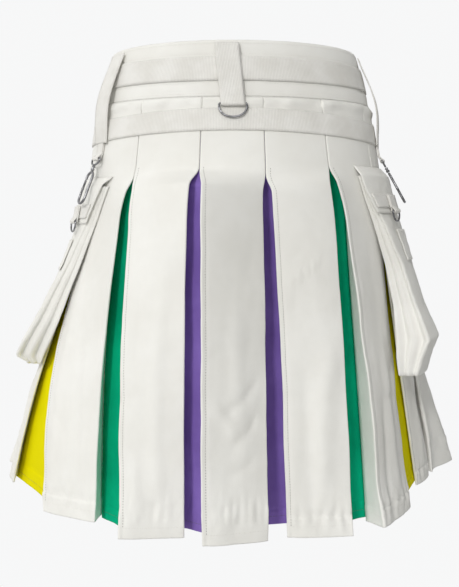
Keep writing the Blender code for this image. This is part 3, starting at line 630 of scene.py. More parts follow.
# creases pressed and worn into each panel: start across and down, end across and down, half width, depth, bow
panelCreases = {
    "hip_panel_left": (
        (-0.02, 0.30, 0.02, 0.36, 0.006, -0.0012, 0.004),
        (0.0, 0.40, 0.01, 0.50, 0.009, 0.0016, 0.0),
    ),
    "side_panel_left": (
        (-0.035, 0.300, 0.028, 0.318, 0.0022, -0.0007, 0.002),
        (-0.012, 0.20, -0.020, 0.50, 0.012, 0.0016, 0.003),
        (0.014, 0.33, 0.018, 0.50, 0.008, -0.0014, -0.002),
        (-0.03, 0.40, 0.0, 0.43, 0.004, -0.0008, 0.002),
    ),
    "back_panel_left": (
        (-0.034, 0.386, 0.032, 0.388, 0.0018, -0.0010, 0.0008),
        (-0.034, 0.394, 0.030, 0.396, 0.0016, -0.0008, -0.001),
        (0.012, 0.28, 0.008, 0.51, 0.010, 0.0016, 0.003),
        (-0.016, 0.12, -0.020, 0.34, 0.012, -0.0010, 0.0),
        (-0.02, 0.46, -0.016, 0.52, 0.006, 0.0012, 0.0),
    ),
    "back_panel_centre": (
        (-0.010, 0.402, 0.026, 0.372, 0.005, -0.0013, 0.002),
        (-0.004, 0.440, 0.024, 0.415, 0.005, -0.0012, 0.003),
        (-0.026, 0.395, -0.002, 0.425, 0.006, 0.0012, -0.002),
        (-0.012, 0.475, 0.020, 0.462, 0.004, -0.0010, 0.001),
        (0.004, 0.30, 0.010, 0.44, 0.012, 0.0012, 0.004),
        (-0.030, 0.335, 0.020, 0.322, 0.003, -0.0005, 0.001),
    ),
    "back_panel_right": (
        (-0.026, 0.235, 0.010, 0.212, 0.0022, 0.0010, 0.001),
        (0.020, 0.33, 0.008, 0.46, 0.012, 0.0018, 0.004),
        (-0.012, 0.36, -0.010, 0.51, 0.010, -0.0014, 0.0),
        (0.000, 0.150, 0.028, 0.170, 0.004, -0.0006, 0.001),
        (-0.030, 0.200, 0.000, 0.207, 0.002, -0.0005, 0.0),
    ),
    "side_panel_right": (
        (-0.026, 0.386, 0.030, 0.378, 0.0020, -0.0010, 0.001),
        (0.0, 0.34, 0.012, 0.50, 0.010, 0.0018, 0.004),
        (0.024, 0.36, 0.020, 0.44, 0.006, -0.0014, 0.0),
        (-0.018, 0.40, -0.014, 0.52, 0.007, -0.0014, 0.001),
    ),
    "hip_panel_right": (
        (-0.010, 0.34, 0.012, 0.42, 0.005, -0.0012, 0.003),
        (0.004, 0.40, 0.0, 0.50, 0.009, 0.0016, 0.0),
    ),
}


def panelRow(name, z):
    slitLeft, slitRight, leftSeam, leftFold, rightFold, rightSeam = panels[name]
    left, leftDeg, leftOpen = pleatPath(slitLeft, 1, z, leftSeam, leftFold)
    right, rightDeg, rightOpen = pleatPath(slitRight, -1, z, rightSeam, rightFold)
    along = (right[0] - left[0]).normalized()
    outward = Vector((along.y, -along.x, 0))
    leftRest, rightRest = formPoint(leftDeg, z), formPoint(rightDeg, z)
    pull = pleats["pull"].get(name, 1.0)
    points = [(p, False) for p in reversed(left[1:])] + [(left[0], True)]
    for w in pleats["faceShares"]:
        k = lerp(leftOpen, rightOpen, w)
        place = leftRest.lerp(rightRest, w) + bow(leftDeg, rightDeg, z, w) * (1 - k)
        place += (left[0] - leftRest) * (1 - w) ** lerp(pull, 1, rightOpen)
        place += (right[0] - rightRest) * w ** lerp(pull, 1, leftOpen)
        points.append((place + outward * pleats["bulge"] * 4 * w * (1 - w) * k, False))
    points += [(right[0], True)] + [(p, False) for p in right[1:]]
    return offsetPath(points, form["foldRadius"], pleats["foldSteps"])


hemForm = {
    "reach": 0.045, "turnUp": 0.0125, "turnStep": 0.002, "turnDepth": 0.00035,
    "seam": 0.0118, "groove": ((-0.0013, 0.0118, 0.0018),),
    "pucker": ((0.0027, 0.0075, 0.45, 0),), "puckerAt": 0.010, "puckerOver": 0.014,
    "wave": ((0.0026, 0.03, 0.2, 7),), "waveOver": 0.04,
}
fellForm = {"full": 0.0022, "life": ((0.0045, 0.019, 1, 0),), "at": 0.0072, "over": 0.0048}


def hemRelief(s, t, long, seed):
    h, up = hemForm, long - t
    if up > h["reach"]:
        return 0.0
    turned = h["turnDepth"] * smooth((h["turnUp"] - up) / h["turnStep"])  # the turned-up layer behind
    pucker = ripples(s, up, h["pucker"], seed) * fade(up - h["puckerAt"], h["puckerOver"])
    wave = ripples(s, up, h["wave"], seed) * smooth((h["reach"] - up) / h["waveOver"])
    return turned + grooves(up, h["groove"]) + pucker + wave


def fellRelief(s, t, seed):  # the pleats are full and soft between the waistband and the band
    f = fellForm
    return (f["full"] + ripples(s, t, f["life"], seed)) * fade(t - f["at"], f["over"])


def makePanels():
    heights = skirtHeights(form["hem"])
    long = form["skirtTop"] - form["hem"]
    edge = len(pleats["returnShares"]) - 1
    faceFrom, faceTo = edge, edge + 2 * (pleats["foldSteps"] + 1) + len(pleats["faceShares"]) - 1
    for number, name in enumerate(panels):
        creases = panelCreases[name]

        def relief(s, t, c, r):
            total = hemRelief(s, t, long, number * 3.7)
            if not faceFrom <= c <= faceTo:
                return total * pleats["returnRelief"]
            free = smooth((t - pleats["lifeFrom"]) / pleats["lifeOver"])
            total += fellRelief(s, t, number * 5.1) + pleats["crease"] * troughs(s, t, creases)
            total += free * ripples(s, t, pleats["life"], number)
            first, last = c - faceFrom, faceTo - c
            topstitch = pleats["stitchGroove"] * fade(first - pleats["stitchColumn"], pleats["stitchWidth"])
            return total * smooth(min(first, last) / pleats["edgeColumns"]) + topstitch * free

        rows = [panelRow(name, z) for z in heights]
        piece = clothPiece(name, "twill", rows, relief)
    print("panels made")


makePanels()

# where each apron leaves its slit, its way round, its end, its seam and fold at the hem, and its usual width
aprons = {
    "apron_outer": {
        "slit": "plainLeft", "way": -1, "end": -232.0, "seam": (-0.298, 0.084), "fold": (-0.330, 0.060),
        "wide": 0.56,
    },
    "apron_under": {
        "slit": "plainRight", "way": 1, "end": 208.0, "seam": (0.280, 0.082), "fold": (0.298, 0.046),
        "wide": 0.48,
    },
}
apronForm = {
    "halfWidth": 0.365, "depth": 0.210, "squareness": 3.2, "swing": 18.0, "step": 2.0, "growth": 1.12,
    "life": ((0.0015, 0.05, 0.5, 20), (0.0006, 0.018, 0.8, 70)), "lifeFrom": 0.06, "lifeOver": 0.12,
    "fell": 0.5, "seamColumns": 6, "edgeColumns": 8,
}
underLap = {"middle": 0.30, "half": 0.17, "edge": 0.05, "flatter": 0.75}  # where the outer apron covers it
apronCreases = {  # angle round the body and distance down in metres along the cloth
    "apron_outer": (
        (-0.10, 0.06, -0.13, 0.46, 0.014, -0.0022, 0.010),
        (0.02, 0.12, 0.01, 0.50, 0.020, 0.0026, 0.012),
        (0.12, 0.20, 0.16, 0.52, 0.016, -0.0024, -0.008),
        (-0.04, 0.395, 0.18, 0.388, 0.0022, -0.0009, 0.002),
        (-0.20, 0.25, -0.18, 0.50, 0.013, 0.0020, 0.0),
        (0.22, 0.36, 0.20, 0.52, 0.010, 0.0020, 0.004),
        (-0.02, 0.30, 0.06, 0.36, 0.005, -0.0010, 0.004),
    ),
    "apron_under": (
        (0.04, 0.10, 0.02, 0.48, 0.018, -0.0024, 0.010),
        (-0.12, 0.22, -0.16, 0.52, 0.014, 0.0024, 0.004),
        (0.12, 0.30, 0.14, 0.52, 0.012, 0.0018, 0.0),
        (-0.10, 0.380, 0.08, 0.392, 0.0022, -0.0008, 0.002),
    ),
}


def apronRing(degrees, z):
    half, depth = quarterSizes(degrees, z)
    hemHalf, hemDepth = quarterSizes(degrees, form["hem"])
    power, angle = 2 / apronForm["squareness"], math.radians(degrees)
    x = math.copysign(abs(math.sin(angle)) ** power, math.sin(angle))
    y = math.copysign(abs(math.cos(angle)) ** power, -math.cos(angle))
    return Vector((x * apronForm["halfWidth"] * half / hemHalf, y * apronForm["depth"] * depth / hemDepth, z))


def apronRow(apron, z):
    way, slit, end = apron["way"], apron["slit"], apron["end"]
    pleat, foldDeg, k = pleatPath(slit, way, z, apron["seam"], apron["fold"])
    count = round(abs(end - slits[slit][0]) / apronForm["step"])
    points = [(p, False) for p in reversed(pleat[1:])] + [(pleat[0], True)]
    fromFold = hemPoint(apron["fold"], slit, z) - apronRing(foldDeg, z)
    for i in range(1, count + 1):
        angle = lerp(foldDeg, end, (i / count) ** apronForm["growth"])
        swing = 1 - smooth(abs(angle - foldDeg) / apronForm["swing"])
        place = formPoint(angle, z).lerp(
            apronRing(angle, z) + fromFold * swing, lerp(openness("front", z), k, swing)
        )
        if way > 0:
            place = place - Vector((place.x, place.y, 0)).normalized() * lapTuck(angle)
        points.append((place, False))
    if way < 0:
        points.reverse()
    return offsetPath(points, form["foldRadius"], pleats["foldSteps"])


def makeAprons():
    heights = skirtHeights(form["hem"])
    long = form["skirtTop"] - form["hem"]
    edge, f, lies = len(pleats["returnShares"]) - 1, apronForm, underLap
    for number, (name, apron) in enumerate(aprons.items()):
        rows = [apronRow(apron, z) for z in heights]
        last = len(rows[0]) - 1
        seamFrom, freeEnd = (last, 0) if apron["way"] < 0 else (0, last)

        def relief(s, t, c, r):
            total = hemRelief(s, t, long, number * 8.3 + 31)
            fromSeam = abs(c - seamFrom)
            if fromSeam < edge:
                return total * pleats["returnRelief"]
            free = smooth((t - f["lifeFrom"]) / f["lifeOver"])
            total += pleats["crease"] * troughs(s, t, apronCreases[name]) * free
            total += free * ripples(s, t, f["life"], number)
            atEdge = smooth(abs(c - freeEnd) / f["edgeColumns"])
            total += fellRelief(s, t, number * 5.1 + 60) * f["fell"] * atEdge
            covered = smooth((lies["half"] - abs(s - lies["middle"])) / lies["edge"]) if number else 0.0
            return total * smooth((fromSeam - edge) / f["seamColumns"]) * (1 - lies["flatter"] * covered)

        piece = clothPiece(name, "twill", rows, relief)
    print("aprons made")


makeAprons()

insets = {  # slit, finish
    "inset_yellow_left": ("yellowLeft", "yellow"), "inset_green_left": ("greenLeft", "green"),
    "inset_purple_left": ("purpleLeft", "purple"), "inset_purple_right": ("purpleRight", "purple"),
    "inset_green_right": ("greenRight", "green"), "inset_yellow_right": ("yellowRight", "yellow"),
    "inset_plain_left": ("plainLeft", "cotton"), "inset_plain_right": ("plainRight", "cotton"),
}
insetForm = {
    "hem": -0.557, "depth": 0.0029, "sag": 0.0012, "lap": 0.0015, "steps": 18, "edgeColumns": 4,
    "life": ((0.0012, 0.018, 0.35, 90),), "top": -0.035, "drawnIn": 0.0012, "hemShare": 0.8,
}
insetHems = {"yellowLeft": -0.562, "greenLeft": -0.566, "purpleLeft": -0.561}  # these hang a little lower


def insetRow(slit, z):
    outer, under = (aprons[name] for name in ("apron_outer", "apron_under"))
    left = {p[1]: (p[5], p[4]) for p in panels.values()}.get(slit, (outer["seam"], outer["fold"]))
    right = {p[0]: (p[2], p[3]) for p in panels.values()}.get(slit, (under["seam"], under["fold"]))
    start, end = pleatPath(slit, -1, z, *left)[0][-1], pleatPath(slit, 1, z, *right)[0][-1]
    k = openness(slit, z)
    leftDeg, rightDeg = (closedAngles(slit, side, z)[1] for side in (-1, 1))
    shares = spread(0.0, 1.0, insetForm["steps"])
    points = [start.lerp(end, w) + bow(leftDeg, rightDeg, z, w) * (1 - k) for w in shares]
    points[0] = points[0] - (points[1] - points[0]).normalized() * insetForm["lap"]
    points[-1] = points[-1] + (points[-1] - points[-2]).normalized() * insetForm["lap"]
    depth = insetForm["depth"] + insetForm["sag"] * 4 * k * (1 - k)
    return offsetPath([(p, False) for p in points], -depth, 0)


def makeInsets():
    f = insetForm
    for number, (name, (slit, finish)) in enumerate(insets.items()):
        foot = insetHems.get(slit, f["hem"])
        heights = skirtHeights(foot)
        long = form["skirtTop"] - foot

        def relief(s, t, c, r):
            atEdges = smooth(c / f["edgeColumns"]) * smooth((f["steps"] - c) / f["edgeColumns"])
            waves = ripples(s, t, f["life"], number) - f["drawnIn"] * openness(slit, f["top"] - t)
            return (waves + f["hemShare"] * hemRelief(s, t, long, number * 2.9 + 80)) * atEdges

        rows = [insetRow(slit, z) for z in heights]
        piece = clothPiece(name, "twill", rows, relief, finish)
    print("insets made")


makeInsets()

bands = {
    "waistband": {
        "from": -232.0, "to": 208.0, "low": -0.035, "high": 0.035, "thick": 0.0020, "rows": 28, "step": 2.0,
        "topRoll": (-0.0009, 0.004), "footRoll": (-0.0006, 0.067, 0.003),
        "lines": (
            (-0.0004, 0.0045, 0.0014), (-0.0004, 0.0655, 0.0014),
            (-0.0005, 0.0185, 0.0016), (-0.0005, 0.0515, 0.0016),
        ),
        "life": ((0.0007, 0.03, 1, 3.3), (0.0005, 0.011, 2, 8.8)),
        "underTape": (0.035, 0.017, 0.15),  # middle, half height, share of the soft waves that stays
    },
    "tape": {
        "from": -232.0, "to": 112.0, "height": 0.030, "rows": 10, "step": 2.0,
        "edge": 0.0015, "lines": ((-0.0002, 0.0025, 0.001),), "life": ((0.0003, 0.013, 1, 5.5),),
    },
    "band": {
        "half": 109.0, "height": 0.028, "middle": -0.063, "drop": 0.010, "rows": 10, "step": 1.5,
        "edge": 0.0015, "lines": (), "life": ((0.0005, 0.016, 1, 9.5),),
        "frill": (0.0004, 4.5, 0.008, 0.003),  # depth, seed, size, how far in from the edges
    },
}
panelFace = form["foldRadius"] + form["twill"] / 2
tapeOut = bands["waistband"]["thick"] / 2 + form["layGap"] + form["webbing"] / 2
bandOut = panelFace + form["layGap"] + form["webbing"] / 2
bandFace = bandOut + form["webbing"] / 2


def bandMiddle(degrees):
    return bands["band"]["middle"] - bands["band"]["drop"] * math.sin(math.radians(degrees)) ** 2


def ringRows(start, end, step, levels, heightAt, outAt):
    angles = spread(start, end, round((end - start) / step))
    return [[formPoint(a, heightAt(a, level), outAt(a)) for a in angles] for level in levels]


def makeBands():
    w = bands["waistband"]

    def waistRelief(s, t, c, r):
        (top, topOver), (foot, footFrom, footOver) = w["topRoll"], w["footRoll"]
        middle, half, still = w["underTape"]
        roll = top * smooth((topOver - t) / topOver) + foot * smooth((t - footFrom) / footOver)
        soft = ripples(s, t, w["life"]) * (1.0 if abs(t - middle) > half else still)
        return roll + soft + grooves(t, w["lines"])

    def tapeRelief(s, t, c, r):
        return webbingRelief(s, t, min(t, w["height"] - t), w)

    def bandRelief(s, t, c, r):
        depth, seed, size, over = w["frill"]
        frill = depth * ripple(s, 0.0, seed, size) * fade(min(t, w["height"] - t), over)
        return tapeRelief(s, t, c, r) + frill

    levels = spread(w["low"], w["high"], w["rows"])
    rows = ringRows(w["from"], w["to"], w["step"], levels, lambda a, z: z, lambda a: -lapTuck(a))
    piece = clothPiece("waistband", "twill", rows, waistRelief, thickness=w["thick"])
    w = bands["tape"]
    levels = spread(-w["height"] / 2, w["height"] / 2, w["rows"])
    rows = ringRows(w["from"], w["to"], w["step"], levels, lambda a, z: z, lambda a: tapeOut - lapTuck(a))
    piece = clothPiece("upper_tape", "webbing", rows, tapeRelief)
    w = bands["band"]
    levels = spread(-w["height"] / 2, w["height"] / 2, w["rows"])
    rows = ringRows(
        -w["half"], w["half"], w["step"], levels, lambda a, z: bandMiddle(a) + z, lambda a: bandOut
    )
    piece = clothPiece("lower_band", "webbing", rows, bandRelief)
    print("bands made")


makeBands()

straps = {
    "across": 8, "loopRadius": 0.0026, "loopNeck": 2.2, "loopArc": (25.0, -205.0), "loopSteps": 16,
    "straightSteps": 14,
    "edge": 0.0013, "lines": ((-0.00015, 0.0022, 0.0008),), "life": ((0.00025, 0.009, 1, 0),),
    "back": {
        "width": 0.0305, "top": 0.031, "lean": 0.105, "footX": -0.0005, "backOut": 0.0038, "frontOut": 0.0056,
    },
    "backLoop": {"out": 0.0056, "height": -0.0440},
    "beltLoops": {  # angle, bow, lean of the hook that hangs below it
        "left": (-63.0, 0.0065, 23.0), "right": (81.0, 0.0075, 29.0),
    },
    "beltLoop": {
        "width": 0.032, "top": 0.029, "foot": -0.087, "rows": 44, "riseFrom": 0.35, "riseOver": 0.4,
        "roundness": 1.3,
    },
    "hookTab": {"width": 0.015, "backOut": 0.0026, "frontOut": 0.0044, "barOut": 0.0072, "bar": -0.1065},
}


def loopedProfile(top, backOut, frontOut, loopOut, loopHeight):
    # distance out and height, from the top of the back, round the loop, to the top of the front
    radius = straps["loopRadius"]
    neck = loopHeight + radius * straps["loopNeck"]
    straight = [lerp(top, neck, q) for q in spread(0.0, 1.0, straps["straightSteps"])]
    profile = [(frontOut, z) for z in straight]
    for angle in spread(*map(math.radians, straps["loopArc"]), straps["loopSteps"]):
        profile.append((loopOut + radius * math.cos(angle), loopHeight + radius * math.sin(angle)))
    return (profile + [(backOut, z) for z in reversed(straight)])[::-1]


def strapRelief(wide, seed):
    return lambda s, t, c, r: webbingRelief(s, t, wide / 2 - abs(s), straps, seed)


def strapPiece(node, rows, width, seed):
    piece = clothPiece(node, "webbing", rows, strapRelief(width, seed))


def sideways(width):
    return [width * q for q in spread(-0.5, 0.5, straps["across"])]


def tabPiece(node, angle, width, profile, seed):
    rows = []
    for out, z in profile:
        middle = formPoint(angle, z, out)
        _, along = levelFrame(angle, z)
        rows.append([middle + along * across for across in sideways(width)])
    strapPiece(node, rows, width, seed)


def makeStraps():
    b, bend = straps["back"], straps["backLoop"]
    rows = []
    for out, z in loopedProfile(b["top"], b["backOut"], b["frontOut"], bend["out"], bend["height"]):
        shift = b["footX"] - b["lean"] * (z - bend["height"])
        depth = formPoint(0.0, z, out).y
        rows.append([Vector((shift + across, depth, z)) for across in sideways(b["width"])])
    strapPiece("back_strap", rows, b["width"], 1.5)
    loop, tab = straps["beltLoop"], straps["hookTab"]
    for number, (side, (angle, bow, _)) in enumerate(straps["beltLoops"].items()):
        profile = []
        for t in spread(0.0, 1.0, loop["rows"]):
            rise = smooth((t - loop["riseFrom"]) / loop["riseOver"])
            seat = lerp(bandFace, tapeOut + form["webbing"] / 2, rise) + form["seamGap"] + form["webbing"] / 2
            out = seat + bow * math.sin(math.pi * t) ** loop["roundness"]
            profile.append((out, lerp(loop["foot"], loop["top"], t)))
        node = "belt_loop_" + side
        tabPiece(node, angle, loop["width"], profile, 2.5 + number)
        profile = loopedProfile(
            loop["foot"] - form["seamGap"], tab["backOut"], tab["frontOut"], tab["barOut"], tab["bar"]
        )
        node = "hook_tab_" + side
        tabPiece(node, angle, tab["width"], profile, 4.5 + number)
    print("straps made")


makeStraps()

# each pocket: angle of its front edge, width of its cloth, seed, and rows; each row: height, angles of the
# rear edge of its back wall and of its face, then how far the back wall at both edges and the face stand out
pockets = {
    "left": {
        "front": -92.0, "wide": 0.30, "seed": 11.0,
        "rows": (
            (-0.144, -52.5, -56.0, 0.0032, 0.0026, 0.0092), (-0.165, -55.5, -59.5, 0.0032, 0.0028, 0.0098),
            (-0.190, -58.5, -63.0, 0.0036, 0.0040, 0.0112), (-0.212, -61.0, -66.5, 0.0050, 0.0080, 0.0138),
            (-0.245, -64.5, -70.0, 0.0066, 0.0118, 0.0196), (-0.276, -67.5, -72.5, 0.0094, 0.0162, 0.0280),
            (-0.320, -70.0, -74.5, 0.0140, 0.0220, 0.0410), (-0.350, -73.0, -77.0, 0.0178, 0.0270, 0.0520),
            (-0.370, -76.0, -79.0, 0.0206, 0.0304, 0.0570), (-0.379, -77.0, -79.5, 0.0218, 0.0318, 0.0410),
        ),
    },
    "right": {
        "front": 92.0, "wide": 0.28, "seed": 17.0,
        "rows": (
            (-0.130, 51.5, 51.5, 0.0032, 0.0028, 0.0102), (-0.150, 53.0, 53.0, 0.0032, 0.0034, 0.0114),
            (-0.168, 54.5, 55.0, 0.0034, 0.0040, 0.0140), (-0.190, 57.0, 58.0, 0.0036, 0.0046, 0.0175),
            (-0.245, 61.5, 63.0, 0.0038, 0.0062, 0.0250), (-0.300, 62.5, 64.5, 0.0042, 0.0076, 0.0330),
            (-0.342, 60.0, 63.0, 0.0044, 0.0086, 0.0450), (-0.364, 58.0, 62.5, 0.0050, 0.0094, 0.0325),
            (-0.386, 57.5, 61.0, 0.0055, 0.0100, 0.0240),
        ),
    },
}
pocketForm = {
    "faceSteps": 26, "sideSteps": 14, "bagRows": 64, "bellows": 0.30, "bellowsRound": 0.8, "backFold": 0.85,
    "flapTop": 0.012, "flapFoot": -0.048, "overhang": 0.05, "flapClear": 0.0021,
    "band": (-0.041, -0.023), "smallFlap": {"top": -0.069, "foot": -0.110, "from": 0.22, "to": 0.70},
    "tab": {"width": 0.020, "share": 0.30, "top": -0.025, "bar": -0.0445},
    "flapGrid": (26, 40), "bandGrid": (8, 40), "smallGrid": (18, 20),  # steps up and across
    "life": ((0.0010, 0.018, 1, 0), (0.0006, 0.008, 0.6, 3)), "backLife": 0.35, "mouthOver": 0.05,
    "footRows": 6,
    "flapLife": ((0.0006, 0.012, 1, 0),), "flapOver": 0.02, "flapHem": 0.01, "flapHemStart": 0.4,
    "smallLife": ((0.0005, 0.010, 1, 2),),
    "edgeless": 9.0,  # a width so large that the band's relief shows no woven edge
    "footReach": 0.0025, "footFolds": ((0.96, 0.0016), (0.86, 0.0016), (0.6, 0.0006)),  # size, drop
}
# how far out from the pocket's face the middles of the band and of the tab's back lie, and the tab's bar
bandClear = pocketForm["flapClear"] + form["twill"] / 2 + form["layGap"] + form["webbing"] / 2
tabClear = bandClear + form["webbing"] + form["layGap"]
barClear = tabClear + straps["loopRadius"]


def pocketLevel(pocket, z):
    rows = pocket["rows"]
    z = min(rows[0][0], max(rows[-1][0], z))
    for upper, lower in zip(rows, rows[1:]):
        if upper[0] >= z >= lower[0]:
            t = (upper[0] - z) / (upper[0] - lower[0])
            return [lerp(a, b, t) for a, b in zip(upper[1:], lower[1:])]


def pocketPoint(pocket, z, share, out):
    rear, faceRear, backRear, _, face = pocketLevel(pocket, z)
    reach = min(1.0, max(0.0, (out - backRear) / (face - backRear)))
    return formPoint(lerp(lerp(rear, faceRear, reach), pocket["front"], share), z, out)


def bagRow(pocket, z):
    _, _, backRear, backFront, face = pocketLevel(pocket, z)
    shares = sorted(spread(0.0, 1.0, pocketForm["faceSteps"]), reverse=pocket["front"] < 0)
    row = [pocketPoint(pocket, z, share, face) for share in shares]
    width = (pocketPoint(pocket, z, 1, face) - pocketPoint(pocket, z, 0, face)).length
    for edge, first in ((shares[-1], True), (shares[0], False)):
        depth = face - (backFront if edge == 1 else backRear)
        side = []
        for level in spread(0.0, 1.0, pocketForm["sideSteps"])[1:-1]:
            crest = 1.0 if abs(level - 0.5) > 0.25 else pocketForm["backFold"]
            reach = 1 - abs(math.cos(2 * math.pi * level)) ** pocketForm["bellowsRound"] * crest
            inset = pocketForm["bellows"] * depth * reach / width
            side.append(pocketPoint(pocket, z, 1 - inset if edge == 1 else inset, face - depth * level))
        if first:
            row += side + [pocketPoint(pocket, z, q, lerp(backRear, backFront, q)) for q in reversed(shares)]
        else:
            row += reversed(side)
    return row + [row[0].copy()]


def makeBag(side, pocket):
    p = pocketForm
    top, foot = pocket["rows"][0][0], pocket["rows"][-1][0]
    rows = [bagRow(pocket, z) for z in spread(foot, top, p["bagRows"])]

    def relief(s, t, c, r):
        soft = ripples(s, t, p["life"], pocket["seed"]) * (1.0 if c <= p["faceSteps"] else p["backLife"])
        return soft * smooth(t / p["mouthOver"]) * smooth(r / p["footRows"])

    def close(sheet):
        edge = [
            e for e in sheet.edges
            if e.is_boundary and all(abs(v.co.z - foot) < p["footReach"] for v in e.verts)
        ]
        corners = {v for e in edge for v in e.verts}
        middle = sum((v.co for v in corners), Vector()) / len(corners)
        for size, drop in p["footFolds"]:
            made = bmesh.ops.extrude_edge_only(sheet, edges=edge)["geom"]
            edge = [g for g in made if isinstance(g, bmesh.types.BMEdge) and g.is_boundary]
            for vert in {v for e in edge for v in e.verts}:
                x, y, z = vert.co
                vert.co = lerp(middle.x, x, size), lerp(middle.y, y, size), z - drop
        bmesh.ops.contextual_create(sheet, geom=edge)
        bmesh.ops.triangulate(sheet, faces=[f for f in sheet.faces if len(f.verts) > 4])
        bmesh.ops.recalc_face_normals(sheet, faces=sheet.faces)
        for face in sheet.faces:
            face.smooth = True

    piece = clothPiece("pocket_bag_" + side, "twill", rows, relief, ring=True, close=close)


def pocketSheet(part, side, cloth, drops, clear, shares, relief):
    pocket = pockets[side]
    mouth, seat = pocket["rows"][0][0], panelFace + form["seamGap"] + form["twill"]
    rows = []
    for drop in drops:
        z = mouth + drop
        out = pocketLevel(pocket, z)[4] + clear
        if drop > 0:
            out = lerp(out, seat, drop / pocketForm["flapTop"])
        ordered = sorted(shares, reverse=pocket["front"] < 0)
        rows.append([pocketPoint(pocket, z, share, out) for share in ordered])
    piece = clothPiece(f"pocket_{part}_{side}", cloth, rows, relief)
    widest = max(sum((b - a).length for a, b in zip(row, row[1:])) for row in rows)


def makePockets():
    p = pocketForm
    small, tab = p["smallFlap"], p["tab"]
    for number, (side, pocket) in enumerate(pockets.items()):
        makeBag(side, pocket)
        seed = 21.0 + number * 4

        def flapRelief(s, t, c, r):
            hem = (p["flapTop"] - p["flapFoot"] - t) / p["flapHem"] + p["flapHemStart"]
            return ripples(s, t, p["flapLife"], seed) * smooth(t / p["flapOver"]) * smooth(hem)

        def smallRelief(s, t, c, r):
            return ripples(s, t, p["smallLife"], seed)

        up, over = p["flapGrid"]
        pocketSheet(
            "flap", side, "twill", spread(p["flapFoot"], p["flapTop"], up), p["flapClear"],
            spread(-p["overhang"], 1 + p["overhang"], over), flapRelief,
        )
        up, over = p["bandGrid"]
        pocketSheet(
            "band", side, "webbing", spread(*p["band"], up), bandClear, spread(0.0, 1.0, over),
            strapRelief(p["edgeless"], seed + 1),
        )
        up, over = p["smallGrid"]
        pocketSheet(
            "small_flap", side, "twill", spread(small["foot"], small["top"], up), p["flapClear"],
            spread(small["from"], small["to"], over), smallRelief,
        )
        top, bar = (pocket["rows"][0][0] + tab[key] for key in ("top", "bar"))
        straight = loopedProfile(top, tabClear, tabClear + form["webbing"] + form["layGap"], barClear, bar)
        profile = [(out + pocketLevel(pocket, z)[4], z) for out, z in straight]
        angle = lerp(pocketLevel(pocket, bar)[1], pocket["front"], tab["share"])
        node = "ring_tab_" + side
        tabPiece(node, angle, tab["width"], profile, seed + 3)
    print("pockets made")


makePockets()


metalForm = {"wireSides": 5, "turnSteps": 28, "merge": 0.000005, "sharp": 40}


def wirePiece(name, node, points, radius, body, cyclic=True):
    curve = bpy.data.curves.new(name, "CURVE")
    curve.dimensions, curve.bevel_depth, curve.bevel_resolution = "3D", radius, metalForm["wireSides"]
    curve.use_fill_caps = not cyclic
    spline = curve.splines.new("POLY")
    spline.points.add(len(points) - 1)
    for target, point in zip(spline.points, points):
        target.co = (*point, 1.0)
    spline.use_cyclic_u = cyclic
    holder = bpy.data.objects.new(name, curve)
    bpy.context.scene.collection.objects.link(holder)
    graph = bpy.context.evaluated_depsgraph_get()
    mesh = bpy.data.meshes.new_from_object(holder.evaluated_get(graph))
    bpy.data.objects.remove(holder)
    bpy.data.curves.remove(curve)
    mesh.name = name
    mesh.shade_smooth()
    layOnPiece(mesh, name, finishes["steel"], body, node)


def turnedPiece(name, node, profile, place, axis, body):
    # profile: radius and distance along the axis, from one end to the other
    shell = bmesh.new()
    verts = [shell.verts.new((radius, 0.0, along)) for radius, along in profile]
    edges = [shell.edges.new(pair) for pair in zip(verts, verts[1:])]
    bmesh.ops.spin(
        shell, geom=verts + edges, cent=(0, 0, 0), axis=(0, 0, 1), angle=2 * math.pi,
        steps=metalForm["turnSteps"], use_merge=True,
    )
    bmesh.ops.remove_doubles(shell, verts=shell.verts, dist=metalForm["merge"])
    bmesh.ops.recalc_face_normals(shell, faces=shell.faces)
    turn = Matrix.Translation(place) @ axis.to_track_quat("Z", "Y").to_matrix().to_4x4()
    bmesh.ops.transform(shell, matrix=turn, verts=shell.verts)
    mesh = bpy.data.meshes.new(name)
    shell.to_mesh(mesh)
    shell.free()
    mesh.shade_smooth()
    mesh.set_sharp_from_angle(angle=math.radians(metalForm["sharp"]))
    layOnPiece(mesh, name, finishes["steel"], body, node)


ringForm = {"corner": 1.2, "barSteps": 8, "bowSteps": 40, "roundness": 0.8}


def ringPoints(centre, side, down, ring):
    halfWidth, corner = ring["halfWidth"], ring["wire"] * ringForm["corner"]
    points = [centre + side * (halfWidth - corner) * s for s in spread(-1.0, 1.0, ringForm["barSteps"])]
    for angle in spread(0.0, math.pi, ringForm["bowSteps"]):
        rise = corner + (ring["depth"] - corner) * math.sin(angle) ** ringForm["roundness"]
        points.append(centre + side * halfWidth * math.cos(angle) + down * rise)
    return points


rings = {
    "back": {"halfWidth": 0.0174, "depth": 0.0175, "wire": 0.0013, "lean": 14.0},
    "pocket": {"halfWidth": 0.0118, "depth": 0.0140, "wire": 0.0012, "lean": 8.0},
}
hook = {
    "eye": {"halfWidth": 0.0105, "depth": 0.0092, "wire": 0.0013},
    "swivelRadius": 0.0024, "swivelTop": 0.0109, "swivelFoot": 0.0178, "wire": 0.0017, "gateWire": 0.0015,
    "half": 0.0078, "shoulder": 0.0300, "nose": 0.0490, "foot": 0.0640, "gateGap": 0.0008, "gap": 0.0003,
    "bendSteps": 24,
    "swivel": (  # shares of its radius and length
        (0.0, 0.0), (0.7, 0.0), (0.95, 0.08), (1.0, 0.2), (0.72, 0.28), (0.66, 0.44),
        (0.66, 0.5), (1.0, 0.58), (1.0, 0.86), (0.8, 1.0), (0.0, 1.0),
    ),
    "gateEnd": (0.7, 0.4), "gateBead": ((1.0, 0.62), (1.25, 0.66), (1.25, 0.72), (1.0, 0.76)),
}


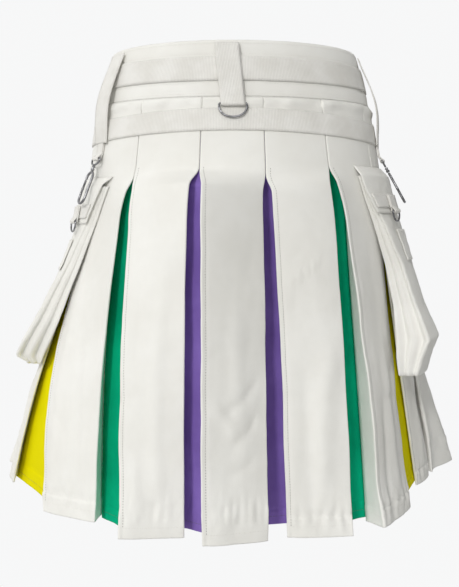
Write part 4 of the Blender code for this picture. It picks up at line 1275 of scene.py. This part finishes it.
def hangDown(outward, degrees):  # straight down, leaning outwards
    lean = math.radians(degrees)
    return outward * math.sin(lean) - Vector((0, 0, 1)) * math.cos(lean)


def makeRings():
    loop, tab = straps["backLoop"], pocketForm["tab"]
    bar = Vector((straps["back"]["footX"], formPoint(0.0, loop["height"], loop["out"]).y, loop["height"]))
    ring = rings["back"]
    points = ringPoints(bar, Vector((1, 0, 0)), hangDown(Vector((0, -1, 0)), ring["lean"]), ring)
    wirePiece("back_ring_wire", "d_ring_back", points, ring["wire"], "d_ring_back")
    ring = rings["pocket"]
    for side, pocket in pockets.items():
        height = pocket["rows"][0][0] + tab["bar"]
        _, rear, _, _, face = pocketLevel(pocket, height)
        angle = lerp(rear, pocket["front"], tab["share"])
        outward, across = levelFrame(angle, height)
        bar = formPoint(angle, height, barClear + face)
        points = ringPoints(bar, across, hangDown(outward, ring["lean"]), ring)
        wirePiece(f"{side}_ring_wire", "d_ring_" + side, points, ring["wire"], "d_ring_" + side)


def arcPoints(centre, across, down, radius, start, end, steps):
    angles = [math.radians(a) for a in spread(start, end, steps)]
    return [centre + across * radius * math.cos(a) + down * radius * math.sin(a) for a in angles]


def makeHooks():
    h, tab = hook, straps["hookTab"]
    radius, half, end = h["swivelRadius"], h["half"], h["gateEnd"]
    long, wire = h["swivelFoot"] - h["swivelTop"], h["gateWire"]
    crown = h["swivelFoot"] + h["gap"] + h["wire"]
    for side, (angle, _, lean) in straps["beltLoops"].items():
        bar = formPoint(angle, tab["bar"], tab["barOut"])
        outward, across = levelFrame(angle, tab["bar"])
        down, link = hangDown(outward, lean), "hook_link_" + side
        points = ringPoints(bar, across, down, h["eye"])
        wirePiece(f"{side}_hook_eye", "hook_eye_" + side, points, h["eye"]["wire"], link)
        profile = [(radius * wide, long * at) for wide, at in h["swivel"]]
        top = bar + down * h["swivelTop"]
        turnedPiece(f"{side}_hook_swivel", "hook_swivel_" + side, profile, top, down, link)
        spine = [bar - across * half + down * h["shoulder"]]
        spine += arcPoints(bar + down * (crown + half), across, down, half, 180, 360, h["bendSteps"])
        spine += arcPoints(bar + down * (h["foot"] - half), across, down, half, 0, 180, h["bendSteps"])
        spine.append(bar - across * half + down * h["nose"])
        wirePiece(f"{side}_hook_wire", "hook_loop_" + side, spine, h["wire"], "hook_" + side, cyclic=False)
        top, foot = (
            bar - across * half + down * d for d in (h["shoulder"] + h["gateGap"], h["nose"] - h["gap"])
        )
        length = (foot - top).length
        profile = [(0.0, 0.0), (wire * end[0], 0.0), (wire, wire * end[1])]
        profile += [(wire * wide, length * at) for wide, at in h["gateBead"]]
        profile += [(wire, length - wire * end[1]), (wire * end[0], length), (0.0, length)]
        axis = (foot - top).normalized()
        turnedPiece(f"{side}_hook_gate", "hook_gate_" + side, profile, top, axis, "gate_" + side)
    print("rings and hooks made")


makeRings()
makeHooks()

# shares of the stud's radius and height, up to the foot of its dome
studs = {
    "radius": 0.0070, "height": 0.0022, "angles": (-226.0, -211.0),
    "rim": ((0.0, 0.0), (0.96, 0.0), (1.0, 0.16), (1.0, 0.42), (0.9, 0.62), (0.82, 0.66)),
    "dome": 0.8, "domeFoot": 0.62, "domeRise": 0.38, "domeEnds": 0.1, "domeSteps": 7, "nearby": 0.015,
}


def makeStuds():
    u = studs
    seat = tapeOut + form["webbing"] / 2 + form["layGap"]
    wide, tall = u["radius"], u["height"]
    profile = [(wide * across, tall * up) for across, up in u["rim"]]
    for a in spread(u["domeEnds"], math.pi / 2 - u["domeEnds"], u["domeSteps"]):
        profile.append((wide * u["dome"] * math.cos(a), tall * (u["domeFoot"] + u["domeRise"] * math.sin(a))))
    profile.append((0.0, tall))
    for number, angle in enumerate(u["angles"], 1):
        _, across = levelFrame(angle, 0.0)
        up = (formPoint(angle, u["nearby"]) - formPoint(angle, -u["nearby"])).normalized()
        axis = across.cross(up).normalized()
        if axis.dot(formPoint(angle, 0.0)) < 0:
            axis.negate()
        place = formPoint(angle, 0.0) + axis * seat
        turnedPiece(f"lap_stud_{number}", f"snap_stud_{number}", profile, place, axis, "kilt")


makeStuds()


# where rows of stitches lie: columns and rows counted in from the edges of a piece's grid, or metres
seams = {
    "pleat": {"wide": 0.00100, "long": 0.00200, "pitch": 0.0032}, "pleatTop": -0.12,  # metres
    "apronEdges": (1.0, 2.2), "insetRow": 2, "insetEnd": 0.5, "insetSteps": 12,
    "waist": (-0.0310, -0.0180, 0.0180, 0.0310),  # metres
    "tape": 0.9,
    "strap": {"sides": 0.7, "rows": 13, "tops": (0.6, 4.5), "steps": 8, "size": 0.8},
    "loop": {"sides": 0.6, "ends": (0.8, 2.2), "endSides": 0.5, "steps": 8, "size": 0.8},
    "flap": {"sides": (1.0, 3.2), "tops": (0.8, 2.8), "size": 0.85},
    "pocket": {"ends": 0.8, "sides": 1.0, "foot": 1.2, "bagSides": 0.9, "bagFoot": 2.0, "size": 0.8},
}


def gridOf(name):
    grid = grids[name]
    return grid, len(grid["rows"][0]) - 1, len(grid["rows"]) - 1


def rowPath(row, start, end):
    return [(c, row) for c in range(start, end)]


def columnPath(column, start, end):
    return [(column, r) for r in range(start, end)]


def threeSides(last, top, side, foot):  # down one side, along the foot and up the other side
    down, up = columnPath(side, 2, top), columnPath(last - side, 1, top)
    return down[::-1] + rowPath(foot, 1, last) + up


def sewPanels():
    hem, edges = Sewing("hem_stitching"), Sewing("pleat_edge_stitching", **seams["pleat"])
    insetHem = Sewing("inset_hem_stitching")
    heights = skirtHeights(form["hem"])
    hemRow = next(i for i, z in enumerate(heights) if z > form["hem"] + hemForm["seam"])
    opens = next(i for i, z in enumerate(heights) if z > seams["pleatTop"])
    first = len(pleats["returnShares"]) - 1
    for name in panels:
        grid, last, _ = gridOf(name + "_twill")
        hem.run(grid, rowPath(hemRow, 1, last))
        edges.run(grid, columnPath(first + pleats["stitchColumn"], hemRow, opens))
    for name, apron in aprons.items():
        grid, last, top = gridOf(name + "_twill")
        hem.run(grid, rowPath(hemRow, 1, last))
        for inset in seams["apronEdges"]:
            edges.run(grid, columnPath(inset if apron["way"] < 0 else last - inset, 1, top - 1))
    for name in insets:
        grid, last, _ = gridOf(name + "_twill")
        columns = spread(seams["insetEnd"], last - seams["insetEnd"], seams["insetSteps"])
        insetHem.run(grid, [(c, hemRow - seams["insetRow"]) for c in columns])
    insetHem.sew(finish="darkThread")
    hem.sew()
    # the edge stitching's grey thread is painted shade for its needle holes, darker than the cream thread
    edges.sew(finish="paintedShadeGreyThread")
    print("skirt sewn", hem.count, edges.count)


def sewWaist():
    waist, w = Sewing("waist_stitching"), bands["waistband"]
    grid, last, top = gridOf("waistband_twill")
    for height in seams["waist"]:
        waist.run(grid, rowPath((height - w["low"]) / (w["high"] - w["low"]) * top, 0, last + 1))
    for name in ("upper_tape_webbing", "lower_band_webbing"):
        grid, last, top = gridOf(name)
        for row in (seams["tape"], top - seams["tape"]):
            waist.run(grid, rowPath(row, 0, last + 1))
    b = seams["strap"]
    grid, last, top = gridOf("back_strap_webbing")
    for column in (b["sides"], last - b["sides"]):
        waist.run(grid, columnPath(column, top - b["rows"], top), size=b["size"])
    for down in b["tops"]:
        columns = spread(b["sides"], last - b["sides"], b["steps"])
        waist.run(grid, [(c, top - down) for c in columns], size=b["size"])
    b = seams["loop"]
    for side in straps["beltLoops"]:
        grid, last, top = gridOf("belt_loop_" + side + "_webbing")
        columns = spread(b["endSides"], last - b["endSides"], b["steps"])
        for row in (*b["ends"], *(top - end for end in b["ends"])):
            waist.run(grid, [(c, row) for c in columns], size=b["size"])
        for column in (b["sides"], last - b["sides"]):
            waist.run(grid, columnPath(column, 1, top), size=b["size"])
    waist.sew()
    print("waist sewn", waist.count)


def sewPockets():
    work, flap, b = Sewing("pocket_stitching"), seams["flap"], seams["pocket"]
    for side in pockets:
        grid, last, top = gridOf(f"pocket_flap_{side}_twill")
        for inset in flap["sides"]:
            work.run(grid, threeSides(last, top, inset, inset), size=flap["size"])
        for down in flap["tops"]:
            work.run(grid, rowPath(top - down, 1, last), size=flap["size"])
        grid, last, top = gridOf(f"pocket_band_{side}_webbing")
        for row in (b["ends"], top - b["ends"]):
            work.run(grid, rowPath(row, 0, last + 1), size=b["size"])
        grid, last, top = gridOf(f"pocket_small_flap_{side}_twill")
        work.run(grid, threeSides(last, top + 1, b["sides"], b["foot"]), size=b["size"])
        work.run(grid, rowPath(top - b["ends"], 1, last), size=b["size"])
        grid, last, top = gridOf(f"pocket_bag_{side}_twill")
        face, middle = pocketForm["faceSteps"], pocketForm["sideSteps"] / 2
        for column in (b["bagSides"], face - b["bagSides"], face + middle, last - middle):
            work.run(grid, columnPath(column, 2, top), size=b["size"])
        work.run(grid, rowPath(b["bagFoot"], 1, face), size=b["size"])
    work.sew()
    print("pockets sewn", work.count)


sewPanels()
sewWaist()
sewPockets()

studio = {
    "camera": (-0.0049, -1.17, -0.1936), "tilt": 85.293, "lens": 832.0 / 587 * 36,
    # the floor is pale near the kilt and glows farther off, behind it, as bright as the far wall
    "floor": -1.3, "floorRadius": 14.0, "floorSides": 96, "floorColour": (0.64, 0.64, 0.635),
    "floorGlow": (0.93, 0.933, 0.935), "glowFrom": 0.5, "glowTo": 1.15,
    # a white room whose far wall is brightest, and whose near walls grow dimmer from the left to the right
    "farWall": (0.93, 0.933, 0.935), "leftWall": (0.88, 0.88, 0.865), "rightWall": (0.05, 0.052, 0.05),
    "darkFrom": 0.15, "darkTo": 0.80, "farFrom": 0.74, "farTo": 0.88,
    # direction, width, strength, colour
    "suns": {"keySun": ((-0.33, -0.86, 0.42), 9.0, 1.16, (1.0, 0.99, 0.97))},
}


def makeStudio():
    camera = bpy.data.objects.new("photoCamera", bpy.data.cameras.new("photoCamera"))
    camera.location = studio["camera"]
    camera.rotation_euler = (math.radians(studio["tilt"]), 0, 0)
    camera.data.lens, camera.data.sensor_width, camera.data.sensor_fit = studio["lens"], 36.0, "AUTO"
    camera.data.clip_start = 0.01
    bpy.context.scene.collection.objects.link(camera)
    bpy.context.scene.camera = camera
    disc = bmesh.new()
    bmesh.ops.create_circle(disc, cap_ends=True, segments=studio["floorSides"], radius=studio["floorRadius"])
    mesh = bpy.data.meshes.new("paleFloor")
    disc.to_mesh(mesh)
    disc.free()
    floor = bpy.data.objects.new("paleFloor", mesh)
    floor.location.z = studio["floor"]
    bpy.context.scene.collection.objects.link(floor)
    finish = Finish("paleFloor", None, Roughness=1.0, Specular_IOR_Level=0.0, Emission_Strength=1.0)
    _, behind, _ = finish.parts(finish.place())
    far, black = behind.ramp(studio["glowFrom"], studio["glowTo"]), (0.0, 0.0, 0.0)
    finish.paint(
        Base_Color=finish.mix(far, studio["floorColour"], black),
        Emission_Color=finish.mix(far, black, studio["floorGlow"]),
    )
    mesh.materials.append(finish.material)
    world = bpy.data.worlds.new("studioWorld")
    world.use_nodes = True
    room = Nodes(world.node_tree)
    across, away, _ = room.parts(room.node("ShaderNodeTexCoord", None, out=0))
    dark = across.ramp(studio["darkFrom"], studio["darkTo"])
    far = away.ramp(studio["farFrom"], studio["farTo"])
    walls = room.mix(far, room.mix(dark, studio["leftWall"], studio["rightWall"]), studio["farWall"])
    room.put(room.tree.nodes["Background"].inputs["Color"], walls)
    bpy.context.scene.world = world
    bpy.context.scene.view_settings.view_transform = "Standard"
    for name, (place, width, strength, colour) in studio["suns"].items():
        lamp = bpy.data.lights.new(name, "SUN")
        lamp.angle, lamp.energy, lamp.color = math.radians(width), strength, colour
        sun = bpy.data.objects.new(name, lamp)
        sun.location = place
        sun.rotation_euler = (-Vector(place)).to_track_quat("-Z", "Y").to_euler()
        bpy.context.scene.collection.objects.link(sun)
    print("studio set")


makeStudio()
